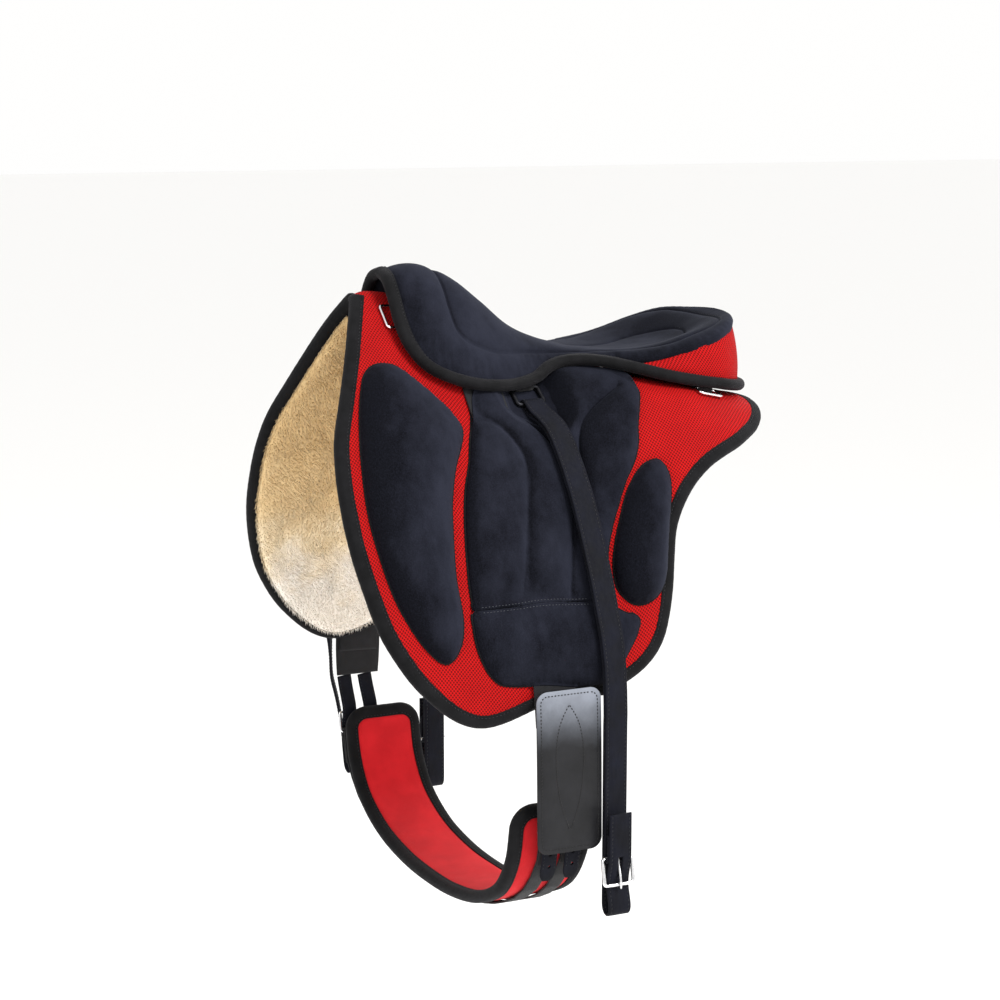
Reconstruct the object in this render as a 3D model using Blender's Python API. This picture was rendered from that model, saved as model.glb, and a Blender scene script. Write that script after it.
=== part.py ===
"""Treeless saddle: two flexible padded panels joined over the spine, a padded seat, rigging, leathers and girth.

Frame: +Z up, pommel towards -Y, cantle towards +Y, near (left) side at +X.
The origin is the underside of the gullet strip, where the saddle rests on a back or a rack.
The panels are bent sheets, so they are laid out in two sheet coordinates:
y, fore and aft, and s, the length down the sheet from the spine, both in millimetres.
"""

import math

import bmesh
import bpy
import numpy as np
from mathutils import Matrix, Vector

# ---------------------------------------------------------------- driving dimensions (mm)
DATUM_Z = 156.3          # height of the gullet strip's underside in the section table
PANEL_T = 13.0           # foam and spacer mesh
FLEECE_T = 11.0          # pile of the lining
STRIP_T = 4.0            # gullet strip
STRIP_HALF = 22.0        # half width of the gullet strip
EDGE_R = 7.2             # panel edge binding, radius
SEAT_EDGE_R = 6.2        # seat edge binding, radius
WEB_T = 2.0              # rigging webbing
KNEE_H, THIGH_H = 27.0, 23.0
PATCH_BASE, PATCH_H = 5.2, 4.6
BAND_H = 7.0
LEATHER_W, LEATHER_T = 25.0, 3.0
BAR_R = 2.25             # stirrup bar wire radius
RING_R = 1.5             # D-ring wire radius
BILLET_W, BILLET_T = 17.0, 2.5
GIRTH_W, GIRTH_T = 92.0, 14.0
GUARD_W, GUARD_CORNER, GUARD_T = 72.0, 12.0, 2.6
RIG_Y, RIG_SLANT, RIG_W, WEB_OFF = -59.0, 0.045, 46.0, 3.2
WEB_NEAR_END, WEB_FAR_END = 452.0, 486.0
STIRRUP_WEB_W, STIRRUP_WEB_T = 23.0, 1.6
BAR_Y, BAR_S, BAR_OFF, BAR_DROP, BAR_HALF = 0.5, 90.0, 3.0, 22.0, 17.0
RING_OFF, RING_IN, TAB_W, TAB_T = 3.4, 4.0, 18.0, 1.2
BLOCK_OFF, BLOCK_T = 6.4, 3.0
GIRTH_CORNER, GIRTH_EDGE_R = 25.0, 6.5

# Cross sections of the panels' outer face: station y, then (x, z) from the spine down the side.
SECTIONS = [
    (-235, [(0, 224), (19, 210), (47, 180), (80, 135), (116, 78), (147, 22), (176, -36), (196, -96), (206, -145), (208, -195)]),
    (-150, [(0, 230), (24, 213), (52, 181), (83, 136), (118, 80), (149, 24), (178, -34), (199, -94), (209, -145), (211, -195)]),
    (-60, [(0, 204), (25, 188), (50, 159), (78, 120), (113, 78), (144, 34), (174, -25), (197, -85), (210, -140), (214, -195)]),
    (16, [(0, 150), (34, 140), (62, 120), (96, 89), (129, 52), (156, 10), (178, -37), (197, -88), (209, -135), (214, -190)]),
    (50, [(0, 142), (36, 143), (60, 138), (86, 119), (114, 88), (140, 50), (163, 8), (183, -42), (202, -108), (214, -188)]),
    (100, [(0, 133), (44, 138), (78, 136), (106, 118), (132, 85), (155, 44), (175, 0), (191, -51), (206, -115), (214, -187)]),
    (170, [(0, 120), (50, 124), (90, 124), (117, 116), (140, 94), (160, 60), (177, 16), (191, -38), (206, -110), (213, -187)]),
    (265, [(0, 104), (45, 106), (80, 104), (108, 93), (131, 70), (151, 38), (168, -4), (184, -56), (200, -120), (208, -190)]),
]
# Panel outline in sheet coordinates: front edge and rear edge, y for each s.
FRONT_EDGE = [(0, -170), (16, -175), (48, -186), (87, -199), (129, -214), (170, -228), (212, -234), (252, -235), (291, -233),
              (334, -226), (375, -215), (414, -196), (440, -178), (458, -162), (470, -146), (477, -128), (479, -118)]
REAR_EDGE = [(0, 264), (40, 266), (85, 264), (120, 252), (146, 233), (168, 212), (186, 190), (203, 165), (220, 145), (240, 129),
             (262, 118), (290, 112), (318, 107), (345, 100), (370, 90), (388, 74), (399, 50), (405, 12), (425, -26), (445, -56),
             (460, -78), (471, -98), (479, -114)]
# Outlines on the sheet, (y, s), round each applied piece.
KNEE = [(-172, 98), (-158, 97), (-144, 102), (-114, 129), (-94, 150), (-91, 163), (-98, 183), (-109, 207), (-118, 235), (-124, 262),
        (-132, 322), (-131, 368), (-138, 396), (-154, 410), (-175, 390), (-196, 346), (-206, 300), (-210, 250), (-206, 194),
        (-198, 150), (-190, 122), (-183, 106)]
THIGH = [(108, 186), (93, 189), (80, 200), (69, 214), (60, 231), (49, 255), (42, 278), (42, 300), (49, 315), (60, 325), (72, 328),
         (84, 325), (93, 316), (99, 300), (104, 273), (110, 248), (116, 224), (118, 207), (115, 194)]
PATCH = [(-70, 117), (-73, 128), (-77, 146), (-86, 175), (-93, 200), (-103, 228), (-110, 258), (-116, 296), (-119, 328), (-119, 346),
         (-95, 348), (-60, 347), (-20, 346), (18, 345), (34, 340), (37, 327), (35, 312), (32, 290), (38, 264), (48, 240), (58, 222),
         (70, 202), (84, 184), (93, 166), (98, 146), (106, 124), (112, 106), (100, 92), (78, 80), (54, 76), (36, 80), (16, 86), (-12, 95), (-34, 106), (-54, 114)]
BAND = [(-119, 353), (-121, 374), (-119, 394), (-113, 411), (-106, 421), (-95, 427), (-70, 423), (-34, 411), (4, 395), (24, 386),
        (40, 376), (51, 365), (60, 352), (63, 341), (56, 333), (44, 333), (41, 347), (22, 354), (-20, 355), (-60, 356), (-95, 357)]
# Centreline of the seat's edge binding, near side, front to rear, (x, y, z).
SEAT_EDGE = [(0, -136, 249), (20, -137, 243), (36, -137, 226), (50, -136, 203), (63, -131, 181), (74, -116, 160), (80, -90, 146),
             (82, -61, 138), (78, -34, 135), (72, -12, 135), (63, 12, 139), (56, 30, 148), (55, 46, 153), (61, 64, 155),
             (71, 82, 154), (84, 104, 150), (96, 127, 144), (104, 150, 138), (108, 180, 132), (106, 204, 128), (98, 226, 124),
             (82, 245, 121), (56, 261, 119), (26, 269, 118), (0, 271, 118)]
# Rim of the cantle, near side, where the seat cover meets the gusset.
RIM = [(84, 104, 153), (91, 125, 157), (96, 148, 161), (100, 174, 168), (101, 196, 175), (96, 217, 182), (80, 237, 190),
       (52, 252, 195), (25, 259, 198), (0, 261, 199)]
# Height of the seat's top face: station y, then z at x = 0, 20, 40, 60, 80, 100.
SEAT_TOP = [
    (-136, [251, 246, 227, 192, 152, 112]), (-125, [254, 250, 231, 195, 156, 116]), (-109, [257, 252, 234, 200, 159, 120]),
    (-76, [250, 245, 227, 193, 150, 108]), (-58, [239, 235, 218, 184, 146, 104]), (-30, [217, 213, 197, 169, 140, 104]),
    (-4, [195, 191, 180, 160, 134, 106]), (18, [182, 179, 171, 155, 134, 112]), (51, [170, 169, 166, 160, 150, 136]),
    (89, [163, 163, 164, 164, 160, 150]), (125, [159, 160, 162, 165, 165, 158]), (160, [160, 161, 164, 169, 172, 167]),
    (198, [167, 168, 172, 179, 183, 178]), (240, [189, 190, 192, 194, 193, 186]), (270, [199, 199, 199, 198, 195, 190]),
]


# ---------------------------------------------------------------- curves and the sheet
def catmull(points, steps, closed=False):
    """Catmull-Rom curve through the points."""
    p = np.asarray(points, float)
    q = np.vstack([p[-1], p, p[0], p[1]]) if closed else np.vstack([2 * p[0] - p[1], p, 2 * p[-1] - p[-2]])
    out = []
    for i in range(1, len(q) - 2):
        a, b, c, d = q[i - 1:i + 3]
        for k in range(steps):
            t = k / steps
            out.append(0.5 * (2 * b + (c - a) * t + (2 * a - 5 * b + 4 * c - d) * t ** 2 + (3 * b - a - 3 * c + d) * t ** 3))
    if not closed:
        out.append(p[-1])
    return np.array(out)


def length_along(line):
    return np.r_[0, np.cumsum(np.linalg.norm(np.diff(line, axis=0), axis=1))]


def even(line, count, closed=False):
    """The line resampled to evenly spaced points."""
    line = np.asarray(line, float)
    if closed:
        line = np.vstack([line, line[0]])
    along = length_along(line)
    want = np.linspace(0, along[-1], count + 1 if closed else count)
    out = np.stack([np.interp(want, along, line[:, k]) for k in range(line.shape[1])], 1)
    return out[:-1] if closed else out


S_STEP = 4.0
S_GRID = np.arange(0, 561, S_STEP)
STATION_Y = np.array([row[0] for row in SECTIONS], float)


def section_table():
    table = []
    for _, pts in SECTIONS:
        line = catmull([(-pts[1][0], pts[1][1])] + pts, 24)[24:]
        along = length_along(line)
        end = line[-1] - line[-8]
        end /= np.linalg.norm(end)
        over = np.clip(S_GRID - along[-1], 0, None)
        table.append(np.stack([np.interp(S_GRID, along, line[:, 0]) + over * end[0],
                               np.interp(S_GRID, along, line[:, 1]) + over * end[1]], 1))
    return np.array(table)


TABLE = section_table()
SLOPE = np.array([(TABLE[min(i + 1, len(TABLE) - 1)] - TABLE[max(i - 1, 0)])
                  / (STATION_Y[min(i + 1, len(TABLE) - 1)] - STATION_Y[max(i - 1, 0)]) for i in range(len(TABLE))])


def section_at(y):
    """The cross section at station y, as (x, z) for each length down the sheet."""
    i = int(np.clip(np.searchsorted(STATION_Y, y) - 1, 0, len(STATION_Y) - 2))
    h = STATION_Y[i + 1] - STATION_Y[i]
    t = min(max((y - STATION_Y[i]) / h, -0.3), 1.3)
    return ((2 * t ** 3 - 3 * t ** 2 + 1) * TABLE[i] + (t ** 3 - 2 * t ** 2 + t) * h * SLOPE[i]
            + (3 * t ** 2 - 2 * t ** 3) * TABLE[i + 1] + (t ** 3 - t ** 2) * h * SLOPE[i + 1])


def sheet(y, s):
    row = section_at(y)
    x = np.interp(abs(s), S_GRID, row[:, 0])
    z = np.interp(abs(s), S_GRID, row[:, 1])
    return np.array([x if s >= 0 else -x, y, z - DATUM_Z])


def sheet_normal(y, s):
    a = sheet(y, s + 4) - sheet(y, s - 4)
    b = sheet(y + 4, s) - sheet(y - 4, s)
    n = np.cross(b, a)
    n /= np.linalg.norm(n)
    return n if n[2] + n[0] * (1 if s >= 0 else -1) > 0 else -n


def on_sheet(y, s, off=0.0):
    """Point at sheet coordinates (y, s), off millimetres out from the panel's outer face."""
    return sheet(y, s) + sheet_normal(y, s) * off


def sheet_z(x, y):
    row = section_at(y)
    return float(np.interp(abs(x), row[:, 0], row[:, 1])) - DATUM_Z


def edge_y(table, s):
    return float(np.interp(s, [r[0] for r in table], [r[1] for r in table]))


FRONT = catmull(FRONT_EDGE, 6)
REAR = catmull(REAR_EDGE, 6)


# ---------------------------------------------------------------- scene
for old in list(bpy.data.objects):
    bpy.data.objects.remove(old)

parts = bpy.data.collections.new("treeless_saddle")
cutters = bpy.data.collections.new("cutters")
bpy.context.scene.collection.children.link(parts)
bpy.context.scene.collection.children.link(cutters)


def material(name, colour, rough, metal=0.0):
    mat = bpy.data.materials.new(name)
    mat.use_nodes = True
    bsdf = mat.node_tree.nodes["Principled BSDF"]
    bsdf.inputs["Base Color"].default_value = (*colour, 1)
    bsdf.inputs["Roughness"].default_value = rough
    bsdf.inputs["Metallic"].default_value = metal
    return mat


RED_MESH = material("red_spacer_mesh", (0.55, 0.01, 0.015), 0.8)
SUEDE = material("black_suede", (0.02, 0.02, 0.03), 0.9)
BINDING = material("black_binding", (0.03, 0.03, 0.03), 0.75)
FLEECE = material("cream_fleece", (0.75, 0.62, 0.42), 1.0)
WEB = material("black_webbing", (0.02, 0.02, 0.02), 0.8)
LEATHER = material("black_leather", (0.04, 0.04, 0.045), 0.35)
CHROME = material("chrome", (0.8, 0.8, 0.8), 0.15, 1.0)
GIRTH_RED = material("red_girth_cloth", (0.6, 0.01, 0.02), 0.7)


def add(name, mesh, mat, smooth=True):
    obj = bpy.data.objects.new(name, mesh)
    mesh.materials.append(mat)
    if smooth and hasattr(mesh, "shade_smooth"):
        mesh.shade_smooth()
    parts.objects.link(obj)
    return obj


def metres(p):
    return Vector((p[0] * 0.001, p[1] * 0.001, p[2] * 0.001))


def mirrored(p):
    return np.array([-p[0], p[1], p[2]])


def mesh_of(bm, name):
    mesh = bpy.data.meshes.new(name)
    bm.to_mesh(mesh)
    bm.free()
    return mesh


def face_out(bm):
    """Turns the faces of a closed mesh outwards."""
    bmesh.ops.recalc_face_normals(bm, faces=bm.faces)
    if bm.calc_volume(signed=True) < 0:
        bmesh.ops.reverse_faces(bm, faces=bm.faces)


def place_origin(obj, point):
    """Moves the object's origin to the point (mm) and leaves its shape where it is."""
    at = metres(point)
    obj.data.transform(Matrix.Translation(-at))
    obj.location = at


def layer(name, mat, place, rows, cols, outer, inner):
    """A padded sheet: a grid laid at the inner depth, then extruded out to the outer one."""
    bm = bmesh.new()
    bmesh.ops.create_grid(bm, x_segments=cols, y_segments=rows, size=0.5)
    made = bmesh.ops.extrude_face_region(bm, geom=list(bm.faces))
    lifted = {g for g in made["geom"] if isinstance(g, bmesh.types.BMVert)}
    for v in bm.verts:
        v.co = metres(place(v.co.y + 0.5, v.co.x + 0.5, outer if v in lifted else inner))
    face_out(bm)
    return add(name, mesh_of(bm, name), mat)


def tube(name, mat, line, radius, closed=False, resolution=2):
    """A round cord or wire along the line."""
    data = bpy.data.curves.new(name, "CURVE")
    data.dimensions = "3D"
    data.bevel_depth = radius * 0.001
    data.bevel_resolution = resolution
    data.use_fill_caps = not closed
    spline = data.splines.new("POLY")
    spline.points.add(len(line) - 1)
    for point, p in zip(spline.points, line):
        point.co = (*metres(p), 1)
    spline.use_cyclic_u = closed
    obj = bpy.data.objects.new(name, data)
    data.materials.append(mat)
    parts.objects.link(obj)
    return obj


def to_mesh(obj):
    """The curve object as a mesh object with its caps welded."""
    graph = bpy.context.evaluated_depsgraph_get()
    mesh = bpy.data.meshes.new_from_object(obj.evaluated_get(graph))
    bm = bmesh.new()
    bm.from_mesh(mesh)
    bmesh.ops.remove_doubles(bm, verts=bm.verts, dist=0.00001)
    bm.to_mesh(mesh)
    bm.free()
    new = bpy.data.objects.new(obj.name + "_mesh", mesh)
    new.matrix_world = obj.matrix_world
    name = obj.name
    bpy.data.objects.remove(obj)
    new.name = name
    parts.objects.link(new)
    return new


def boolean(obj, cutter, operation="DIFFERENCE"):
    mod = obj.modifiers.new("cut", "BOOLEAN")
    mod.operation = operation
    mod.object = cutter
    mod.solver = "EXACT"
    cutter.hide_render = True
    cutter.display_type = "WIRE"
    for col in list(cutter.users_collection):
        col.objects.unlink(cutter)
    cutters.objects.link(cutter)


def pad(name, mat, outline, side, base, height, around=36, rings=8, rim=1.6, full=0.5, lift=1.6):
    """A dome sewn down round its outline: a ball whose lower half is pressed flat on the panel."""
    loop = even(catmull(outline, 6, closed=True), around, closed=True)
    centre = loop.mean(axis=0)
    bm = bmesh.new()
    bmesh.ops.create_uvsphere(bm, u_segments=around, v_segments=rings, radius=1.0)
    for v in bm.verts:
        rho = min(1.0, math.hypot(v.co.x, v.co.y))
        turn = (math.atan2(v.co.y, v.co.x) / (2 * math.pi)) % 1.0
        k = turn * around
        a, b = int(k) % around, (int(k) + 1) % around
        edge = loop[a] * (1 - (k - int(k))) + loop[b] * (k - int(k))
        y, s = centre + (edge - centre) * rho
        if v.co.z > 1e-4:
            off = base + rim + (height - rim) * (1 - rho ** 2) ** full
        elif v.co.z < -1e-4:
            off = base + lift * (1 - rho ** 2)
        else:
            off = base + rim * 0.5
        v.co = metres(on_sheet(y, side * s, off))
    face_out(bm)
    return add(name, mesh_of(bm, name), mat)


def box(name, centre, size, turn=None, mat=None, collection=None):
    """A block, from a unit cube, with its axes turned to the three given directions."""
    bm = bmesh.new()
    bmesh.ops.create_cube(bm, size=1.0)
    axes = turn if turn is not None else np.eye(3)
    for v in bm.verts:
        local = np.array(v.co) * np.array(size)
        v.co = metres(np.array(centre) + local[0] * axes[0] + local[1] * axes[1] + local[2] * axes[2])
    face_out(bm)
    mesh = mesh_of(bm, name)
    if mat is not None:
        return add(name, mesh, mat, smooth=False)
    obj = bpy.data.objects.new(name, mesh)
    (collection or cutters).objects.link(obj)
    return obj


def unit(v):
    return v / np.linalg.norm(v)


def strap(name, mat, line, across, width, thick):
    """A flat strap: a ribbon along the line, extruded through its thickness, mitred at each bend."""
    line = np.asarray(line, float)
    n = len(line)
    across = np.tile(across, (n, 1)) if np.ndim(across) == 1 else np.asarray(across, float)
    face = []
    for i in range(n):
        a, b = line[i] - line[max(i - 1, 0)], line[min(i + 1, n - 1)] - line[i]
        a, b = unit(b if i == 0 else a), unit(a if i == n - 1 else b)
        face.append(unit(np.cross(unit(a + b), across[i])) / max(0.6, math.sqrt((1 + a @ b) / 2)))

    def place(w, u, off):
        i = int(round(w * (n - 1)))
        return line[i] + across[i] * ((width[i] if np.ndim(width) else width) * (u - 0.5)) + face[i] * off
    return layer(name, mat, place, n - 1, 1, thick / 2, -thick / 2)


def ring_line(centre, a, b, half_a, half_b, corner):
    """Centreline of a wire bent to a rounded rectangle with its sides along a and b."""
    line = []
    for sign_a, sign_b, start in ((1, 1, 0), (-1, 1, 90), (-1, -1, 180), (1, -1, 270)):
        for k in range(3):
            t = math.radians(start + 45 * k)
            line.append(centre + a * (sign_a * (half_a - corner) + corner * math.cos(t))
                        + b * (sign_b * (half_b - corner) + corner * math.sin(t)))
    return line


def fold(centre, start, towards, radius, steps=6):
    """Half turn round a bar: from the start side, over the towards side, to the far side."""
    return [centre + start * (radius * math.cos(math.pi * k / steps)) + towards * (radius * math.sin(math.pi * k / steps))
            for k in range(steps + 1)]


def at_side(side, points):
    """Points or directions laid out for the near side, mirrored when the side is the far one."""
    points = np.asarray(points, float)
    return points if side > 0 else points * np.array([-1.0, 1.0, 1.0])


def fit(x, y, z):
    return np.array([x, y, z - DATUM_Z])


# ---------------------------------------------------------------- panels, lining, binding
EDGE_LOOP = np.vstack([np.stack([FRONT[:, 1], FRONT[:, 0]], 1), np.stack([REAR[::-1, 1], REAR[::-1, 0]], 1)])


def inset_loop(loop, gap, closed=False):
    """A line in sheet coordinates moved in by gap, square to itself."""
    n = len(loop)
    out = []
    for i in range(n):
        if closed:
            a, b = loop[i - 1], loop[(i + 1) % n]
        else:
            a, b = loop[max(i - 1, 0)], loop[min(i + 1, n - 1)]
        t = (b - a) / np.linalg.norm(b - a)
        out.append(loop[i] + np.array([t[1], -t[0]]) * gap)
    return np.array(out)


def inset_edges(gap):
    """Front and rear edge of the panel drawn in by gap, as (s, y) tables."""
    line = inset_loop(even(EDGE_LOOP, 240), gap)
    low = int(np.argmax(line[:, 1]))
    front, rear = line[:low + 1, ::-1], line[low:, ::-1][::-1]
    tables = []
    for part in (front, rear):
        keep = [part[0]]
        for q in part[1:]:
            if q[0] > keep[-1][0] + 0.05:
                keep.append(q)
        tables.append(np.array(keep))
    return tables[0], tables[1], line[low, 1]


def panel_point(side, inset, s_top):
    front, rear, low = inset_edges(inset)
    bottom = low - 1.5

    def point(w, u, off):
        s = s_top + (bottom - s_top) * (1 - (1 - w) ** 1.3)
        y0, y1 = edge_y(front, s), edge_y(rear, s)
        return on_sheet(y0 + (y1 - y0) * u, side * s, off)
    return point


NEAR, FAR = 1, -1
SIDES = (("near", NEAR), ("far", FAR))
PANEL_INSET = 2 * EDGE_R + 2.4
panels = {}
for word, side in SIDES:
    panels[word] = layer(word + "_panel", RED_MESH, panel_point(side, PANEL_INSET, STRIP_HALF + 3.6), 16, 8, 0.0, -PANEL_T)
    layer(word + "_fleece", FLEECE, panel_point(side, PANEL_INSET, STRIP_HALF + 8.0), 16, 8,
          -PANEL_T - 2.8, -PANEL_T - 2.8 - FLEECE_T)


def edge_line(side, count):
    """The panel's outline drawn in by the binding's radius, at half the panel's depth."""
    out = even(inset_loop(even(EDGE_LOOP, 240), EDGE_R), count)
    line = [on_sheet(y, side * s, -PANEL_T * 0.5) for y, s in out if s > 9.0]
    for end in (0, -1):
        p = line[end].copy()
        p[0] = side * 0.4
        line = [p] + line if end == 0 else line + [p]
    return line


for word, side in SIDES:
    tube(word + "_panel_binding", BINDING, edge_line(side, 56), EDGE_R, resolution=2)

# Gullet strip: joins the panels over the spine, between the two arches of binding.
STRIP_Y = (-170 + 2 * EDGE_R + 2.5, 264 - 2 * EDGE_R - 2.5)
layer("gullet_strip", SUEDE,
      lambda w, u, off: on_sheet(STRIP_Y[0] + (STRIP_Y[1] - STRIP_Y[0]) * w, (u - 0.5) * 2 * STRIP_HALF + 0.001, off),
      16, 4, 0.0, -STRIP_T)

# ---------------------------------------------------------------- applied blocks and patches
for word, side in SIDES:
    pad(word + "_knee_block", SUEDE, KNEE, side, 2.2, KNEE_H, around=26, rings=8)
    pad(word + "_thigh_block", SUEDE, THIGH, side, 2.0, THIGH_H, around=22, rings=8)
    pad(word + "_patch_band", SUEDE, BAND, side, PATCH_BASE, BAND_H, around=36, rings=6)
patches = {word: pad(word + "_quilted_patch", SUEDE, PATCH, side, PATCH_BASE, PATCH_H, around=44, rings=8, full=0.35)
           for word, side in SIDES}


# ---------------------------------------------------------------- seat
def seat_loop(count):
    near = catmull(SEAT_EDGE, 8)
    far = near[::-1].copy()
    far[:, 0] *= -1
    return even(np.vstack([near, far[1:-1]]), count, closed=True)


def seat_top(x, y):
    ys = [r[0] for r in SEAT_TOP]
    cols = [np.interp(abs(x), [0, 20, 40, 60, 80, 100], r[1]) for r in SEAT_TOP]
    return float(np.interp(y, ys, cols)) - DATUM_Z


def to_sheet(p):
    """Sheet coordinates (y, s, off) of a point."""
    row = section_at(p[1]) - np.array([0, DATUM_Z])
    q = np.array([abs(p[0]), p[2]])
    k = int(np.argmin(np.hypot(row[:, 0] - q[0], row[:, 1] - q[1])))
    best = (1e9, 0.0)
    for i in (max(k - 1, 0), k):
        a, b = row[i], row[i + 1]
        t = float(np.clip((q - a) @ (b - a) / ((b - a) @ (b - a)), 0, 1))
        d = float(np.linalg.norm(q - a - t * (b - a)))
        if d < best[0]:
            best = (d, S_GRID[i] + t * S_STEP)
    return p[1], math.copysign(best[1], p[0]) if abs(p[0]) > 0.01 else 0.0, best[0]


N_SEAT = 52
GUSSET_FROM = 112.0
SEAT_RING = seat_loop(N_SEAT) - np.array([0, 0, DATUM_Z])
SEAT_FINE = seat_loop(400) - np.array([0, 0, DATUM_Z])
RIM_LINE = even(np.vstack([catmull(RIM, 8), (catmull(RIM, 8)[::-1] * np.array([-1, 1, 1]))[1:]]), 240) - np.array([0, 0, DATUM_Z])


def plan_normal(p):
    """Direction out of the seat's outline, in plan, beside the point p."""
    i = int(np.argmin(np.hypot(SEAT_FINE[:, 0] - p[0], SEAT_FINE[:, 1] - p[1])))
    t = SEAT_FINE[(i + 3) % 400] - SEAT_FINE[i - 3]
    n = np.array([t[1], -t[0], 0.0])
    n /= np.linalg.norm(n)
    return n if n @ (SEAT_FINE[i] - np.array([0, 60.0, 0])) > 0 else -n


def rim_beside(p):
    """Point of the cantle rim beside the edge point p."""
    start = RIM_LINE[np.argmin(np.hypot(RIM_LINE[:, 0] - p[0] * 0.93, RIM_LINE[:, 1] - p[1] * 0.967))]
    return start.copy()


def build_seat():
    """The cushion: rings of points drawn in from the edge to the crest, closed below along the panel."""
    bm = bmesh.new()
    flat = np.array([to_sheet(p)[:2] for p in SEAT_RING])
    area = 0.5 * np.sum(flat[:, 0] * np.roll(flat[:, 1], -1) - flat[:, 1] * np.roll(flat[:, 0], -1))
    inner = inset_loop(flat, (SEAT_EDGE_R + 1.2) * (1 if area < 0 else -1), closed=True)
    crown, lip, low = [], [], []
    for i, (y, s) in enumerate(inner):
        off = max(to_sheet(SEAT_RING[i])[2], 9.0)
        if SEAT_RING[i][1] > GUSSET_FROM:
            n = plan_normal(SEAT_RING[i])
            rim = rim_beside(SEAT_RING[i])
            wall = SEAT_RING[i] - n * (SEAT_EDGE_R + 1.2)
            crown.append(rim - n * 3.6 - np.array([0, 0, 0.3]))
            lip.append(wall + np.array([0, 0, 4.0]))
            low.append(np.array([wall[0], wall[1], sheet_z(wall[0], wall[1]) + 9.5]))
        else:
            p = on_sheet(y, s, off + 5.0)
            inwards = np.array([0.0, float(np.clip(y, -100, 225)), p[2]]) - p
            crown.append(p + inwards * 0.07 + np.array([0, 0, 4.0]))
            lip.append(on_sheet(y, s, off + 3.0))
            low.append(on_sheet(y, s, 9.0))
    levels = []
    for f in (0.30, 0.60, 0.85):
        ring = []
        for i in range(N_SEAT):
            base = np.array([0.0, float(np.clip(SEAT_RING[i][1], -100, 225)), 0.0])
            xy = base + (crown[i] - base) * f
            ring.append(np.array([xy[0], xy[1], max(seat_top(xy[0], xy[1]), sheet_z(xy[0], xy[1]) + 16)]))
        levels.append(ring)
    levels += [crown, lip, low]
    for f in (0.72, 0.4):
        ring = []
        for i in range(N_SEAT):
            base = np.array([0.0, float(np.clip(SEAT_RING[i][1], -100, 225)), 0.0])
            xy = base + (low[i] - base) * f
            ring.append(np.array([xy[0], xy[1], sheet_z(xy[0], xy[1]) + 12.5]))
        levels.append(ring)
    rows = [[bm.verts.new(metres(p)) for p in ring] for ring in levels]
    for a, b in zip(rows, rows[1:]):
        for i in range(N_SEAT):
            j = (i + 1) % N_SEAT
            bm.faces.new((a[i], a[j], b[j], b[i]))

    def close(ring, height):
        # The crest runs along the spine: each side of the innermost ring is joined to it.
        half = N_SEAT // 2
        crest = {}
        for i in range(1, half):
            y = float(np.clip(SEAT_RING[i][1], -100, 225))
            crest[i] = bm.verts.new(metres((0.0, y, height(0.0, y))))
        bm.faces.new((ring[0], ring[1], crest[1]))
        bm.faces.new((ring[N_SEAT - 1], ring[0], crest[1]))
        bm.faces.new((ring[half], crest[half - 1], ring[half - 1]))
        bm.faces.new((ring[half + 1], crest[half - 1], ring[half]))
        for i in range(1, half - 1):
            bm.faces.new((ring[i], ring[i + 1], crest[i + 1], crest[i]))
            bm.faces.new((ring[N_SEAT - i], crest[i], crest[i + 1], ring[N_SEAT - i - 1]))

    close(rows[0], seat_top)
    close(rows[-1], lambda x, y: sheet_z(0.0, y) + 12.5)
    bmesh.ops.remove_doubles(bm, verts=bm.verts, dist=0.00005)
    face_out(bm)
    return add("seat_cushion", mesh_of(bm, "seat_cushion"), SUEDE)


seat = build_seat()
tube("seat_binding", BINDING, seat_loop(62) - np.array([0, 0, DATUM_Z]), SEAT_EDGE_R, closed=True, resolution=2)


def gusset_point(w, u, depth):
    """Wall of the cantle: from the edge binding up to the rim, right round the rear."""
    start = int(np.argmax(RIM_LINE[:, 1] > GUSSET_FROM + 3))
    rim = RIM_LINE[start:len(RIM_LINE) - start]
    p = rim[int(round(u * (len(rim) - 1)))]
    edge = SEAT_FINE[np.argmin(np.hypot(SEAT_FINE[:, 0] - p[0] / 0.93, SEAT_FINE[:, 1] - p[1] / 0.967))]
    out = plan_normal(edge)
    foot = edge - out * 1.0 + np.array([0, 0, SEAT_EDGE_R + 0.6])
    top = p + np.array([0, 0, -1.0])
    top[2] = max(top[2], foot[2] + 1.5)
    return foot + (top - foot) * w - out * depth


layer("cantle_gusset", RED_MESH, gusset_point, 3, 26, 0.0, 2.2)


# ---------------------------------------------------------------- rigging over the spine
def level_and_fall(y, s):
    n = sheet_normal(y, s)
    level = unit(np.cross((0.0, 0.0, 1.0), n))
    level = level if level[1] > 0 else -level
    fall = np.cross(n, level)
    return level, (fall if fall[2] < 0 else -fall), n


def web_y(s):
    return RIG_Y + RIG_SLANT * s


rig = []
for s_at in np.linspace(-WEB_FAR_END, WEB_NEAR_END, 58):
    rig.append((on_sheet(web_y(s_at), s_at + 0.001, WEB_OFF), unit(sheet(web_y(s_at) + 5, s_at + 0.001) - sheet(web_y(s_at) - 5, s_at + 0.001))))
strap("rigging_web", WEB, [r[0] for r in rig], [r[1] for r in rig], RIG_W, WEB_T)

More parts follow.
